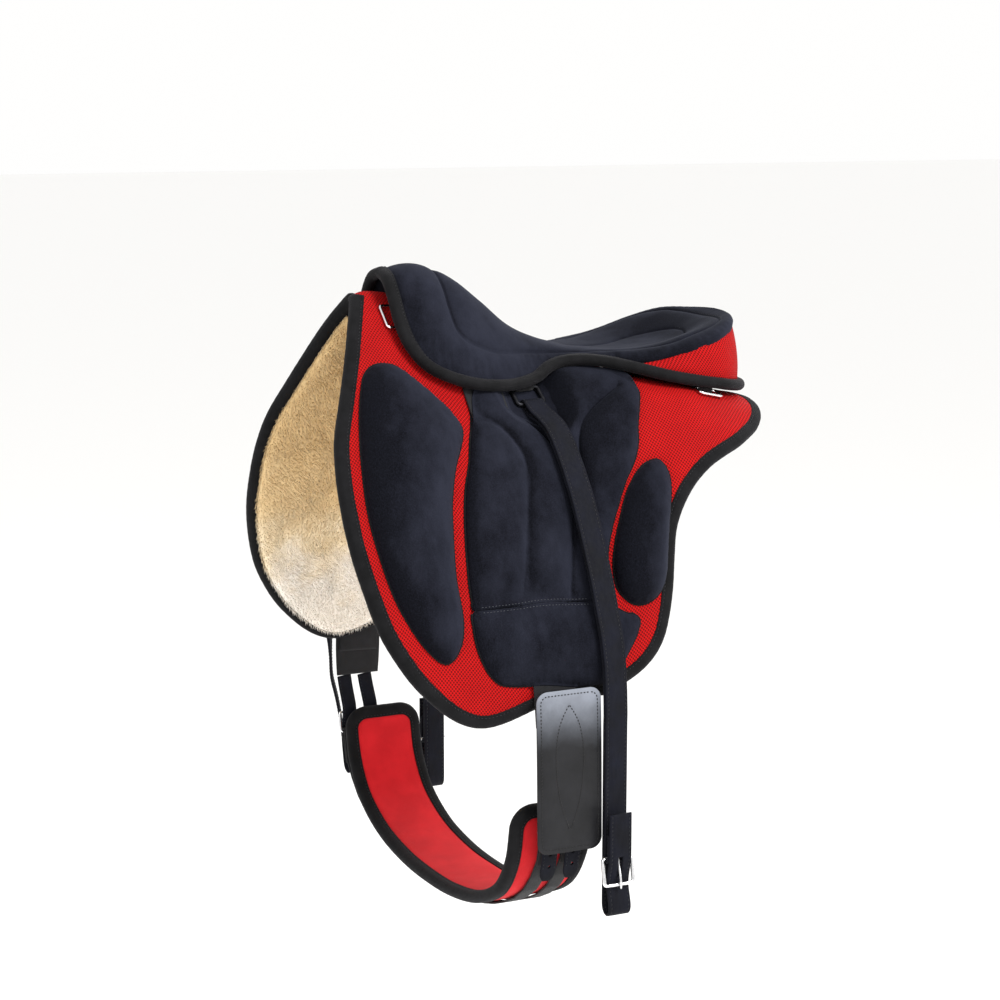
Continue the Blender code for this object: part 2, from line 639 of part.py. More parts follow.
# Stirrup bars: a wire loop each side. The leather turns on the lower bar, the web over the spine holds the upper one.
LEVEL, FALL, BAR_N = level_and_fall(BAR_Y, BAR_S)
BAR = on_sheet(BAR_Y, BAR_S, BAR_OFF)
HEAD = BAR - FALL * BAR_DROP
for word, side in SIDES:
    line = ring_line((BAR + HEAD) / 2, LEVEL, FALL, BAR_HALF, BAR_DROP / 2, 3.8)
    tube(word + "_stirrup_bar", CHROME, at_side(side, line), BAR_R, closed=True)
    recess = box(word + "_recess", at_side(side, (BAR + HEAD) / 2 + FALL * 1.0 - BAR_N * (BAR_OFF + 4.2) + BAR_N * 7.0),
                 (2 * BAR_HALF + 10.0, BAR_DROP + 54.0, 14.0), at_side(side, [LEVEL, FALL, BAR_N]))
    boolean(panels[word], recess)

WEB_BEND = BAR_R + 0.35 + STIRRUP_WEB_T / 2
HEAD_S = BAR_S - BAR_DROP
slant = level_and_fall(BAR_Y, HEAD_S)[1][1]


def band_at(s_at, off):
    """Point of the stirrup web and its width direction: straight over the spine, square to the bar at its end."""
    drop = HEAD_S - s_at
    y_at = HEAD[1] - slant * drop * (1 - drop / (2 * HEAD_S))
    over = unit(sheet(y_at + 5, s_at + 0.001) - sheet(y_at - 5, s_at + 0.001))
    if s_at == 0.0:
        over = unit(over * np.array([0, 1, 1]))
    blend = min(1.0, max(0.0, (s_at - 12) / 34))
    return on_sheet(y_at, s_at + 0.001, off), unit(over * (1 - blend) + LEVEL * blend)


half = [band_at(*q) for q in ((0.0, 3.1), (8, 3.1), (16, 3.1), (24, 3.1), (34, 3.1), (44, 3.1), (52, 2.4), (59, 0.7))]
half += [(q, LEVEL) for q in fold(HEAD, -BAR_N, FALL, WEB_BEND)]
half += [band_at(*q) for q in ((58, 6.0), (51, 5.4), (43, 5.2))]
strap("stirrup_web", WEB, [*at_side(FAR, [q for q, _ in half[::-1]]), *[q for q, _ in half[1:]]],
      [*at_side(FAR, [t for _, t in half[::-1]]), *[t for _, t in half[1:]]],
      STIRRUP_WEB_W, STIRRUP_WEB_T)


# ---------------------------------------------------------------- stirrup leathers
OUT = np.array([1.0, 0.0, 0.0])
UP = np.array([0.0, 0.0, 1.0])
BACK = np.array([0.0, 1.0, 0.0])
FOLD_R = BAR_R + 0.35 + LEATHER_T / 2
LEATHER_Y = [(90, 0.5), (100, 3.3), (110, 6), (125, 9.5), (140, 12), (200, 15.5), (300, 19), (345, 20), (600, 20)]
OUTER_OFF = [(98, 7.7), (104, 9.6), (112, 13.2), (125, 17.6), (150, 18.2), (325, 18.2), (348, 19.2), (430, 19.2)]
INNER_OFF = [(98, -0.6), (104, 2.8), (112, 8.6), (125, 13.8), (150, 14.4), (325, 14.4), (348, 15.4), (430, 15.4)]
RUN_S = (98, 104, 112, 119, 125, 138, 152, 175, 200, 230, 260, 290, 325, 336, 348, 370, 395, 420)
OUTER_X, INNER_X = 232.6, 228.8        # the two runs below the panel
PIVOT_AT, FAR_BAR_AT = fit(OUTER_X + 3.9, 20, -330), fit(OUTER_X + 10.0, 20, -356.5)


def run_point(s_at, table):
    """Point on a run of the leather, and the strap's width direction there."""
    def place(q):
        return on_sheet(np.interp(q, *zip(*LEATHER_Y)), q, np.interp(q, *zip(*table)))
    across = unit(np.cross(place(s_at + 3) - place(s_at - 3), sheet_normal(np.interp(s_at, *zip(*LEATHER_Y)), s_at)))
    return place(s_at), (across if across[1] > 0 else -across)


def leather_path():
    line, across = [], []

    def put(points, direction):
        for q in points:
            line.append(q)
            across.append(direction)

    # Turned-back end round the buckle's pivot, then up the outer run.
    put([fit(OUTER_X + 7.8, 20, -304), fit(OUTER_X + 7.8, 20, -317)], BACK)
    put(fold(PIVOT_AT, OUT, -UP, 3.9), BACK)
    put([fit(OUTER_X, 20, -304), fit(OUTER_X, 20, -262), fit(OUTER_X, 20, -225), fit(OUTER_X, 20, -190)], BACK)
    for s_at in RUN_S[::-1]:
        q, direction = run_point(s_at, OUTER_OFF)
        put([q], direction)
    put(fold(BAR, BAR_N, -FALL, FOLD_R), LEVEL)
    for s_at in RUN_S:
        q, direction = run_point(s_at, INNER_OFF)
        put([q], direction)
    put([fit(INNER_X, 20, -190), fit(INNER_X, 20, -225), fit(INNER_X, 20, -290), fit(INNER_X, 20, -332), fit(INNER_X, 20, -376)], BACK)
    put(fold(fit(INNER_X + 8, 20, -382), -OUT, -UP, 8.0), BACK)
    # Up through the buckle: behind the far bar, outside the pivot.
    put([fit(OUTER_X + 9.8, 20, -372), fit(OUTER_X + 6.2, 20, -362), fit(OUTER_X + 5.9, 20, -354), fit(OUTER_X + 7.4, 20, -346),
         fit(OUTER_X + 10.6, 20, -335), fit(OUTER_X + 11.5, 20, -326), fit(OUTER_X + 11.5, 20, -304), fit(OUTER_X + 11.3, 20, -282)], BACK)
    return line, across


def tongue_line(pivot, along, out, loop_r, points):
    """Wire tongue: most of a turn round the pivot bar, then out along the listed points (out, along)."""
    line = []
    for k in range(7):
        t = math.radians(80 + 43.333 * k)
        line.append(pivot + out * (loop_r * math.cos(t)) + along * (loop_r * math.sin(t)))
    return line + [pivot + out * o + along * a for o, a in points]


for word, side in SIDES:
    line, across = leather_path()
    leather = strap(word + "_stirrup_leather", LEATHER, at_side(side, line), at_side(side, across), LEATHER_W, LEATHER_T)
    slot = box(word + "_leather_slot", at_side(side, PIVOT_AT + OUT * -0.5 + UP * 0.5), (12.0, 5.6, 14.5))
    hole = box(word + "_leather_hole", at_side(side, PIVOT_AT + OUT * 6.6 + UP * -8.0), (8.0, 4.6, 22.0))
    for cutter in (slot, hole):
        boolean(leather, cutter)
    down = unit(FAR_BAR_AT - PIVOT_AT)
    half_long = float(np.linalg.norm(FAR_BAR_AT - PIVOT_AT)) / 2
    frame = tube(word + "_leather_buckle", CHROME,
                 at_side(side, ring_line((PIVOT_AT + FAR_BAR_AT) / 2, BACK, down, 16.4, half_long, 3.2)), 2.0, closed=True)
    tongue = tube(word + "_leather_tongue", CHROME, at_side(side, tongue_line(
        PIVOT_AT, -UP, OUT, 3.6, [(4.7, 6.0), (7.3, 14.0), (9.2, 21.0), (9.8, 27.0), (9.9, 30.0)])), 1.2)
    place_origin(tongue, at_side(side, PIVOT_AT))
    for moving in (leather, slot, hole, frame):
        place_origin(moving, at_side(side, BAR))
    patch_notch = box(word + "_patch_notch", at_side(side, BAR + FALL * 19.0 + LEVEL * 6.0 + BAR_N * 6.0), (40.0, 57.0, 22.0),
                      at_side(side, [LEVEL, FALL, BAR_N]))
    boolean(patches[word], patch_notch)


# ---------------------------------------------------------------- D-rings under the seat's edge
def ring_frame(x, y, z):
    """Sheet point under the seat's edge, the edge's direction, the way out from the seat, and the normal."""
    yy, ss, _ = to_sheet(fit(x, y, z))
    near_by = int(np.argmin(np.linalg.norm(SEAT_FINE - fit(x, y, z), axis=1)))
    n = sheet_normal(yy, ss)
    along = SEAT_FINE[(near_by + 4) % 400] - SEAT_FINE[near_by - 4]
    along = unit(along - n * (along @ n))
    out = np.cross(n, along)
    out = out if out @ (SEAT_FINE[near_by] - np.array([0, 60.0, 0])) > 0 else -out
    return on_sheet(yy, ss, RING_OFF), along, out, n


for place_word, spot in (("front", (43, -136.5, 215)), ("rear", (107.5, 192, 130))):
    root, along, out, n = ring_frame(*spot)
    pivot = root - out * RING_IN
    bend = RING_R + 0.25 + TAB_T / 2
    for word, side in SIDES:
        ring = tube(f"{word}_{place_word}_d_ring", CHROME,
                    at_side(side, ring_line(pivot + out * 7.5, along, out, 14.0, 7.5, 3.2)), RING_R, closed=True)
        place_origin(ring, at_side(side, pivot))
        line = [pivot - out * 20 - n * bend, pivot - out * 10 - n * bend] + fold(pivot, -n, out, bend) + [
            pivot - out * 8 + n * (bend - 1.0), pivot - out * 13 - n * (bend - TAB_T - 0.5), pivot - out * 20 - n * (bend - TAB_T - 0.4)]
        strap(f"{word}_{place_word}_ring_tab", WEB, at_side(side, line), at_side(side, along), TAB_W, TAB_T)

# ---------------------------------------------------------------- billets and their guards
BLOCK_Y = {"near": -30.5, "far": -80.0}


def s_at_height(y, z):
    row = section_at(y)
    return float(np.interp(-z, -row[60:, 1], S_GRID[60:]))


def block_x(y, z, off):
    return on_sheet(y, s_at_height(y, z), off)[0]


for word, side in SIDES:
    mid = BLOCK_Y[word]
    line = [on_sheet(mid, s_at_height(mid, z), BLOCK_OFF) for z in (-156, -172, -188, -204, -220, -236)]
    strap(word + "_billet_block", WEB, at_side(side, line), BACK, [54, 54, 54, 54, 53, 51], BLOCK_T)
    foot_x = float(line[-1][0])
    for place_word, y_top, y_low in (("middle", mid - 16.5 if word == "near" else mid - 17.0, -47.5 if word == "near" else -92.5),
                                     ("rear", mid + 8.5 if word == "near" else mid + 8.0, -21.5 if word == "near" else -66.5)):
        path = [(foot_x, -236.5), (221.2, -250), (218.9, -264), (217.3, -274), (217.2, -284), (218.9, -291.5), (221.7, -299),
                (222.0, -306), (220.4, -320), (216.8, -336), (212.0, -352)]
        points = [fit(x, np.interp(-z, (236, 272), (y_top, y_low)), z) for x, z in path]
        billet = strap(f"{word}_{place_word}_billet", LEATHER, at_side(side, points), BACK, BILLET_W, BILLET_T)
        hole = box(f"{word}_{place_word}_billet_hole", at_side(side, fit(220.0, y_low, -294.5)), (11.0, 3.6, 17.0))
        boolean(billet, hole)

far_front = [(block_x(-115, -152, 9.4), -115, -152), (221.5, -114.5, -166), (223, -114, -180), (224, -113, -195), (225, -112, -212),
             (225.5, -111.5, -236), (230, -103.5, -262), (234, -98, -285), (236, -94, -310), (237, -89, -345)]
twist = [0, 22, 42, 58, 65, 65, 65, 65, 65, 65]
strap("far_front_billet", LEATHER, at_side(FAR, [fit(*q) for q in far_front]),
      at_side(FAR, [(math.sin(math.radians(t)), math.cos(math.radians(t)), 0) for t in twist]), BILLET_W, BILLET_T)

GUARD_LINE = [(224.6, -152.0), (224.9, -157.0), (225.4, -163.0), (226.1, -172.0), (226.8, -185.0), (227.6, -205.0), (228.4, -230.0),
              (229.0, -258.0), (229.5, -285.0), (229.8, -300.0), (230.0, -309.0), (230.1, -315.0), (230.2, -318.5)]
GUARD_AXIS = (226.2, -153.6)


def guard_width(z):
    depth = min(-152.0 - z, z + 318.5)
    return GUARD_W - 2 * GUARD_CORNER + 2 * math.sqrt(max(0.0, GUARD_CORNER ** 2 - max(0.0, GUARD_CORNER - depth - 0.6) ** 2))


for word, side, mid, turned in (("near", NEAR, -30.0, 0.0), ("far", FAR, -80.0, 184.0)):
    t = math.radians(turned)
    line = []
    for x, z in GUARD_LINE:
        dx, dz = x - GUARD_AXIS[0], z - GUARD_AXIS[1]
        line.append(fit(GUARD_AXIS[0] + dx * math.cos(t) - dz * math.sin(t), mid, GUARD_AXIS[1] + dx * math.sin(t) + dz * math.cos(t)))
    guard = strap(word + "_buckle_guard", LEATHER, at_side(side, line), BACK, [guard_width(z) for _, z in GUARD_LINE], GUARD_T)
    place_origin(guard, at_side(side, fit(GUARD_AXIS[0], mid, GUARD_AXIS[1])))

# ---------------------------------------------------------------- girth
near_half = [(0, -410), (60, -407), (120, -395), (170, -370), (196, -335), (204, -300), (205, -272)]
GIRTH = even(catmull([(-x, z) for x, z in near_half[:0:-1]] + near_half, 12), 400)
GIRTH_ALONG = length_along(GIRTH)
GIRTH_L = float(GIRTH_ALONG[-1])


def girth_point(d, across, out):
    """Point on the girth: d along from the far end, across from its middle line, out from its middle surface."""
    x, z = (float(np.interp(d, GIRTH_ALONG, GIRTH[:, k])) for k in (0, 1))
    a, b = (np.array([np.interp(q, GIRTH_ALONG, GIRTH[:, k]) for k in (0, 1)]) for q in (max(d - 4, 0), min(d + 4, GIRTH_L)))
    t = unit(b - a)
    return fit(x + t[1] * out, -57 + 19 * d / GIRTH_L + across, z - t[0] * out)


def girth_half(d, inset):
    """Half width of the girth's outline drawn in by inset, d from its nearer end."""
    corner = GIRTH_CORNER - inset
    straight = GIRTH_W / 2 - inset - corner
    return straight + math.sqrt(max(0.0, corner ** 2 - max(0.0, GIRTH_CORNER - d) ** 2))


GIRTH_IN = 2 * GIRTH_EDGE_R + 1.4


def girth_pad_point(w, u, off):
    ends = (0, 0.006, 0.018, 0.04)
    k = int(round(w * 34))
    w = ends[k] if k < 4 else 1 - ends[34 - k] if k > 30 else 0.04 + 0.92 * (k - 3) / 28
    d = GIRTH_IN + w * (GIRTH_L - 2 * GIRTH_IN)
    return girth_point(d, girth_half(min(d, GIRTH_L - d), GIRTH_IN) * (2 * u - 1), off)


layer("girth_pad", GIRTH_RED, girth_pad_point, 34, 4, GIRTH_T / 2 - 0.5, -GIRTH_T / 2 + 0.5)
edge = []
stations = [GIRTH_EDGE_R + q for q in (0, 0.4, 1.6, 3.8, 7.2, 12, 18.5)] + list(np.linspace(48, GIRTH_L - 48, 17))
stations += [GIRTH_L - q for q in stations[6::-1]]
for sign in (-1, 1):
    for d in (stations if sign < 0 else stations[::-1]):
        edge.append(girth_point(d, sign * girth_half(min(d, GIRTH_L - d), GIRTH_EDGE_R), 0.0))
tube("girth_binding", BINDING, edge, GIRTH_EDGE_R, closed=True)

# Two webs run the girth's length. Each end turns round a buckle's lower bar.
PIVOT_X, PIVOT_Z, TOP_X, TOP_Z = 215.9, -302.0, 220.4, -280.0
GIRTH_BEND = 1.5 + 0.45 + WEB_T / 2
for place_word, near_y, far_y in (("front", -47.5, -92.5), ("rear", -21.5, -66.5)):
    line, turns = [], []
    for word, y_end in (("far", far_y), ("near", near_y)):
        near_end = word == "near"
        pivot = fit(PIVOT_X, y_end, PIVOT_Z)
        tail = []
        for d_in, out in ((62, 11.8), (50, 11.6)):
            q = girth_point(GIRTH_L - d_in, 0, out)
            tail.append(np.array([q[0], y_end, q[2]]))
        tail += [fit(PIVOT_X + GIRTH_BEND, y_end, PIVOT_Z - 6)]
        part_line = tail + fold(pivot, OUT, UP, GIRTH_BEND)
        q = girth_point(GIRTH_L - 42, 0, 9.0)
        part_line += [np.array([q[0], y_end, q[2]])]
        if near_end:
            line += part_line[::-1]
        else:
            line += list(at_side(FAR, part_line))
            for d in np.linspace(58, GIRTH_L - 58, 23):
                q = girth_point(d, 0, 9.2)
                line.append(np.array([q[0], np.interp(d, (58, GIRTH_L - 58), (far_y, near_y)), q[2]]))
    web = strap(f"girth_{place_word}_web", WEB, line, BACK, BILLET_W, WEB_T)
    for word, side, y_end in (("near", NEAR, near_y), ("far", FAR, far_y)):
        pivot, top = fit(PIVOT_X, y_end, PIVOT_Z), fit(TOP_X, y_end, TOP_Z)
        slot = box(f"{word}_{place_word}_web_slot", at_side(side, pivot + UP * -1.0), (12.0, 4.4, 13.0))
        boolean(web, slot)
        rise = unit(top - pivot)
        tube(f"{word}_{place_word}_girth_buckle", CHROME, at_side(side, ring_line(
            (pivot + top) / 2, BACK, rise, 11.2, float(np.linalg.norm(top - pivot)) / 2, 2.6)), 1.5, closed=True)
        tongue = tube(f"{word}_{place_word}_girth_tongue", CHROME, at_side(side, tongue_line(
            pivot, UP, OUT, 2.9, [(4.4, 5.0), (6.9, 13.0), (7.7, 19.0), (7.9, 24.0), (8.0, 26.0)])), 1.0)
        place_origin(tongue, at_side(side, pivot))
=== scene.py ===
"""Looks of the treeless saddle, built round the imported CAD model.

Lengths in the tables are millimetres. +Z up, pommel towards -Y, near side at +X.
The panels are bent sheets, laid out by y (fore and aft) and s (length down from the spine).
"""

import math

import bpy
import numpy as np
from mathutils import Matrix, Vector
from mathutils.bvhtree import BVHTree
from mathutils.geometry import delaunay_2d_cdt


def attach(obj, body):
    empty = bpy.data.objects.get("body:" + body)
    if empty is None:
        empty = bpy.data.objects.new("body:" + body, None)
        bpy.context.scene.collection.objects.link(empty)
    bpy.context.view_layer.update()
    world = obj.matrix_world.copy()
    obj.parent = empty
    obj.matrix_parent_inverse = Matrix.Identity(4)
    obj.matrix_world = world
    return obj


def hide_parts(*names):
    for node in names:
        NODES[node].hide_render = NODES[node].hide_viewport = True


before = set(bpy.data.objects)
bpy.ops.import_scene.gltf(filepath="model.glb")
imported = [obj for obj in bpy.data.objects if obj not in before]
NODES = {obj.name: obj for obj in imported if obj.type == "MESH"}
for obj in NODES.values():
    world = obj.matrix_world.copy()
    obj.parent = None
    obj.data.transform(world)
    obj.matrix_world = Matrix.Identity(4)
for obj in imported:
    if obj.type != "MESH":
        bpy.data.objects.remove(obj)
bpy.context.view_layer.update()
ROOT = "saddle"
DATUM = 156.3
NEAR, FAR = 1, -1
SIDES = (("near", NEAR), ("far", FAR))

# ---------------------------------------------------------------- camera and stage
AZ, EL, DIST, PIXELS = math.radians(65), math.radians(10.3), 2.420, 2250.0
cam_data = bpy.data.cameras.new("camera")
cam_data.sensor_width = 36.0
cam_data.lens = PIXELS * 36.0 / 1000.0
cam_data.clip_end = 200.0
camera = bpy.data.objects.new("camera", cam_data)
bpy.context.scene.collection.objects.link(camera)
back = Vector((math.sin(AZ) * math.cos(EL), -math.cos(AZ) * math.cos(EL), math.sin(EL)))
camera.location = back * DIST + Vector((0, 0, -DATUM * 0.001))
camera.rotation_euler = back.to_track_quat("Z", "Y").to_euler()
bpy.context.scene.camera = camera

# ---------------------------------------------------------------- tables shared with the CAD model
SECTIONS = [
    (-235, [(0, 224), (19, 210), (47, 180), (80, 135), (116, 78), (147, 22), (176, -36), (196, -96), (206, -145), (208, -195)]),
    (-150, [(0, 230), (24, 213), (52, 181), (83, 136), (118, 80), (149, 24), (178, -34), (199, -94), (209, -145), (211, -195)]),
    (-60, [(0, 204), (25, 188), (50, 159), (78, 120), (113, 78), (144, 34), (174, -25), (197, -85), (210, -140), (214, -195)]),
    (16, [(0, 150), (34, 140), (62, 120), (96, 89), (129, 52), (156, 10), (178, -37), (197, -88), (209, -135), (214, -190)]),
    (50, [(0, 142), (36, 143), (60, 138), (86, 119), (114, 88), (140, 50), (163, 8), (183, -42), (202, -108), (214, -188)]),
    (100, [(0, 133), (44, 138), (78, 136), (106, 118), (132, 85), (155, 44), (175, 0), (191, -51), (206, -115), (214, -187)]),
    (170, [(0, 120), (50, 124), (90, 124), (117, 116), (140, 94), (160, 60), (177, 16), (191, -38), (206, -110), (213, -187)]),
    (265, [(0, 104), (45, 106), (80, 104), (108, 93), (131, 70), (151, 38), (168, -4), (184, -56), (200, -120), (208, -190)]),
]
FRONT_EDGE = [(0, -170), (16, -175), (48, -186), (87, -199), (129, -214), (170, -228), (212, -234), (252, -235), (291, -233),
              (334, -226), (375, -215), (414, -196), (440, -178), (458, -162), (470, -146), (477, -128), (479, -118)]
REAR_EDGE = [(0, 264), (40, 266), (85, 264), (120, 252), (146, 233), (168, 212), (186, 190), (203, 165), (220, 145), (240, 129),
             (262, 118), (290, 112), (318, 107), (345, 100), (370, 90), (388, 74), (399, 50), (405, 12), (425, -26), (445, -56),
             (460, -78), (471, -98), (479, -114)]
KNEE = [(-172, 98), (-158, 97), (-144, 102), (-114, 129), (-94, 150), (-91, 163), (-98, 183), (-109, 207), (-118, 235), (-124, 262),
        (-132, 322), (-131, 368), (-138, 396), (-154, 410), (-175, 390), (-196, 346), (-206, 300), (-210, 250), (-206, 194),
        (-198, 150), (-190, 122), (-183, 106)]
THIGH = [(108, 186), (93, 189), (80, 200), (69, 214), (60, 231), (49, 255), (42, 278), (42, 300), (49, 315), (60, 325), (72, 328),
         (84, 325), (93, 316), (99, 300), (104, 273), (110, 248), (116, 224), (118, 207), (115, 194)]
PATCH = [(-70, 117), (-73, 128), (-77, 146), (-86, 175), (-93, 200), (-103, 228), (-110, 258), (-116, 296), (-119, 328), (-119, 346),
         (-95, 348), (-60, 347), (-20, 346), (18, 345), (34, 340), (37, 327), (35, 312), (32, 290), (38, 264), (48, 240), (58, 222),
         (70, 202), (84, 184), (93, 166), (98, 146), (106, 124), (112, 106), (100, 92), (78, 80), (54, 76), (36, 80), (16, 86), (-12, 95),
         (-34, 106), (-54, 114)]
BAND = [(-119, 353), (-121, 374), (-119, 394), (-113, 411), (-106, 421), (-95, 427), (-70, 423), (-34, 411), (4, 395), (24, 386),
        (40, 376), (51, 365), (60, 352), (63, 341), (56, 333), (44, 333), (41, 347), (22, 354), (-20, 355), (-60, 356), (-95, 357)]
SEAT_EDGE = [(0, -136, 249), (20, -137, 243), (36, -137, 226), (50, -136, 203), (63, -131, 181), (74, -116, 160), (80, -90, 146),
             (82, -61, 138), (78, -34, 135), (72, -12, 135), (63, 12, 139), (56, 30, 148), (55, 46, 153), (61, 64, 155),
             (71, 82, 154), (84, 104, 150), (96, 127, 144), (104, 150, 138), (108, 180, 132), (106, 204, 128), (98, 226, 124),
             (82, 245, 121), (56, 261, 119), (26, 269, 118), (0, 271, 118)]
RIM = [(84, 104, 153), (91, 125, 157), (96, 148, 161), (100, 174, 168), (101, 196, 175), (96, 217, 182), (80, 237, 190),
       (52, 252, 195), (25, 259, 198), (0, 261, 199)]
SEAT_TOP = [
    (-136, [251, 246, 227, 192, 152, 112]), (-125, [254, 250, 231, 195, 156, 116]), (-109, [257, 252, 234, 200, 159, 120]),
    (-76, [250, 245, 227, 193, 150, 108]), (-58, [239, 235, 218, 184, 146, 104]), (-30, [217, 213, 197, 169, 140, 104]),
    (-4, [195, 191, 180, 160, 134, 106]), (18, [182, 179, 171, 155, 134, 112]), (51, [170, 169, 166, 160, 150, 136]),
    (89, [163, 163, 164, 164, 160, 150]), (125, [159, 160, 162, 165, 165, 158]), (160, [160, 161, 164, 169, 172, 167]),
    (198, [167, 168, 172, 179, 183, 178]), (240, [189, 190, 192, 194, 193, 186]), (270, [199, 199, 199, 198, 195, 190]),
]
PANEL_T, EDGE_R, SEAT_EDGE_R = 13.0, 7.2, 6.2


# ---------------------------------------------------------------- curves
def catmull(points, steps, closed=False):
    p = np.asarray(points, float)
    q = np.vstack([p[-1], p, p[0], p[1]]) if closed else np.vstack([2 * p[0] - p[1], p, 2 * p[-1] - p[-2]])
    out = []
    for i in range(1, len(q) - 2):
        a, b, c, d = q[i - 1:i + 3]
        for k in range(steps):
            t = k / steps
            out.append(0.5 * (2 * b + (c - a) * t + (2 * a - 5 * b + 4 * c - d) * t ** 2 + (3 * b - a - 3 * c + d) * t ** 3))
    if not closed:
        out.append(p[-1])
    return np.array(out)


def length_along(line):
    return np.r_[0, np.cumsum(np.linalg.norm(np.diff(line, axis=0), axis=1))]


def even(line, count, closed=False):
    line = np.asarray(line, float)
    if closed:
        line = np.vstack([line, line[0]])
    along = length_along(line)
    want = np.linspace(0, along[-1], count + 1 if closed else count)
    out = np.stack([np.interp(want, along, line[:, k]) for k in range(line.shape[1])], 1)
    return out[:-1] if closed else out


def at_pitch(line, pitch, closed=False):
    total = length_along(np.vstack([line, line[0]]) if closed else line)[-1]
    return even(line, max(4, int(round(total / pitch))) + (0 if closed else 1), closed)


def unit(v):
    v = np.asarray(v, float)
    return v / np.maximum(np.linalg.norm(v, axis=-1, keepdims=True), 1e-12)


def inset_loop(loop, gap, closed=False):
    """A line in the plane moved to its right by gap, square to itself."""
    loop = np.asarray(loop, float)
    if closed:
        a, b = np.roll(loop, 1, 0), np.roll(loop, -1, 0)
    else:
        a, b = np.vstack([loop[:1], loop[:-1]]), np.vstack([loop[1:], loop[-1:]])
    t = unit(b - a)
    return loop + np.stack([t[:, 1], -t[:, 0]], 1) * gap


def signed_area(loop):
    return 0.5 * np.sum(loop[:, 0] * np.roll(loop[:, 1], -1) - loop[:, 1] * np.roll(loop[:, 0], -1))


def distance(points, line, closed=False):
    """Distance of each point from the line, and where along it the nearest point is."""
    points, line = np.asarray(points, float), np.asarray(line, float)
    if closed:
        line = np.vstack([line, line[0]])
    a, d = line[:-1], line[1:] - line[:-1]
    along = length_along(line)
    dd = np.maximum((d * d).sum(1), 1e-12)
    best, where = np.empty(len(points)), np.empty(len(points))
    for i in range(0, len(points), 4000):
        p = points[i:i + 4000, None, :]
        t = np.clip(((p - a) * d).sum(2) / dd, 0, 1)
        gap = np.linalg.norm(p - a - t[:, :, None] * d, axis=2)
        k = gap.argmin(1)
        row = np.arange(len(k))
        best[i:i + 4000] = gap[row, k]
        where[i:i + 4000] = along[k] + t[row, k] * np.sqrt(dd[k])
    return best, where


def inside(points, loop):
    x, y = points[:, 0], points[:, 1]
    hit = np.zeros(len(points), bool)
    for (x0, y0), (x1, y1) in zip(loop, np.roll(loop, -1, 0)):
        if y0 != y1:
            hit ^= ((y0 > y) != (y1 > y)) & (x < (x1 - x0) * (y - y0) / (y1 - y0) + x0)
    return hit


def noise(p, size, seed=0):
    """Smooth value noise from -1 to 1, at features of the given size."""
    q = np.asarray(p, float) / size + 1000.0 + 37.7 * seed
    i = np.floor(q).astype(np.int64)
    f = q - i
    f = f * f * (3 - 2 * f)

    def value(ix, iy, iz):
        n = (ix * 73856093) ^ (iy * 19349663) ^ (iz * 83492791)
        n = (n ^ (n >> 13)) * 1274126177 & 0x7FFFFFFF
        n = (n ^ (n >> 15)) * 668265263 & 0x7FFFFFFF
        return (n ^ (n >> 16)) % 65536 / 32768.0 - 1.0

    out = 0.0
    for dx in (0, 1):
        for dy in (0, 1):
            for dz in (0, 1):
                w = (f[:, 0] if dx else 1 - f[:, 0]) * (f[:, 1] if dy else 1 - f[:, 1]) * (f[:, 2] if dz else 1 - f[:, 2])
                out = out + w * value(i[:, 0] + dx, i[:, 1] + dy, i[:, 2] + dz)
    return out


# ---------------------------------------------------------------- the bent sheet
S_STEP = 4.0
S_GRID = np.arange(0, 561, S_STEP)
STATION_Y = np.array([row[0] for row in SECTIONS], float)


def section_table():
    table = []
    for _, pts in SECTIONS:
        line = catmull([(-pts[1][0], pts[1][1])] + pts, 24)[24:]
        along = length_along(line)
        end = line[-1] - line[-8]
        end /= np.linalg.norm(end)
        over = np.clip(S_GRID - along[-1], 0, None)
        table.append(np.stack([np.interp(S_GRID, along, line[:, 0]) + over * end[0],
                               np.interp(S_GRID, along, line[:, 1]) + over * end[1]], 1))
    return np.array(table)


TABLE = section_table()
SLOPE = np.array([(TABLE[min(i + 1, len(TABLE) - 1)] - TABLE[max(i - 1, 0)])
                  / (STATION_Y[min(i + 1, len(TABLE) - 1)] - STATION_Y[max(i - 1, 0)]) for i in range(len(TABLE))])


def sheet(y, s):
    """Points of the panels' outer face. Negative s is the far side."""
    y, s = np.broadcast_arrays(np.asarray(y, float), np.asarray(s, float))
    i = np.clip(np.searchsorted(STATION_Y, y) - 1, 0, len(STATION_Y) - 2)
    h = STATION_Y[i + 1] - STATION_Y[i]
    t = np.clip((y - STATION_Y[i]) / h, -0.3, 1.3)[..., None]
    h = h[..., None]
    a = np.abs(s) / S_STEP
    k = np.clip(a.astype(int), 0, len(S_GRID) - 2)
    f = (a - k)[..., None]

    def at(grid, j):
        return grid[j, k] * (1 - f) + grid[j, k + 1] * f

    p = ((2 * t ** 3 - 3 * t ** 2 + 1) * at(TABLE, i) + (t ** 3 - 2 * t ** 2 + t) * h * at(SLOPE, i)
         + (3 * t ** 2 - 2 * t ** 3) * at(TABLE, i + 1) + (t ** 3 - t ** 2) * h * at(SLOPE, i + 1))
    return np.stack([np.where(s >= 0, p[..., 0], -p[..., 0]), y, p[..., 1] - DATUM], -1)


def sheet_normal(y, s):
    y, s = np.broadcast_arrays(np.asarray(y, float), np.asarray(s, float))
    n = unit(np.cross(sheet(y + 4, s) - sheet(y - 4, s), sheet(y, s + 4) - sheet(y, s - 4)))
    flip = np.where(n[..., 2] + n[..., 0] * np.where(s >= 0, 1, -1) > 0, 1.0, -1.0)
    return n * flip[..., None]


def on_sheet(y, s, off=0.0):
    return sheet(y, s) + sheet_normal(y, s) * np.asarray(off, float)[..., None]


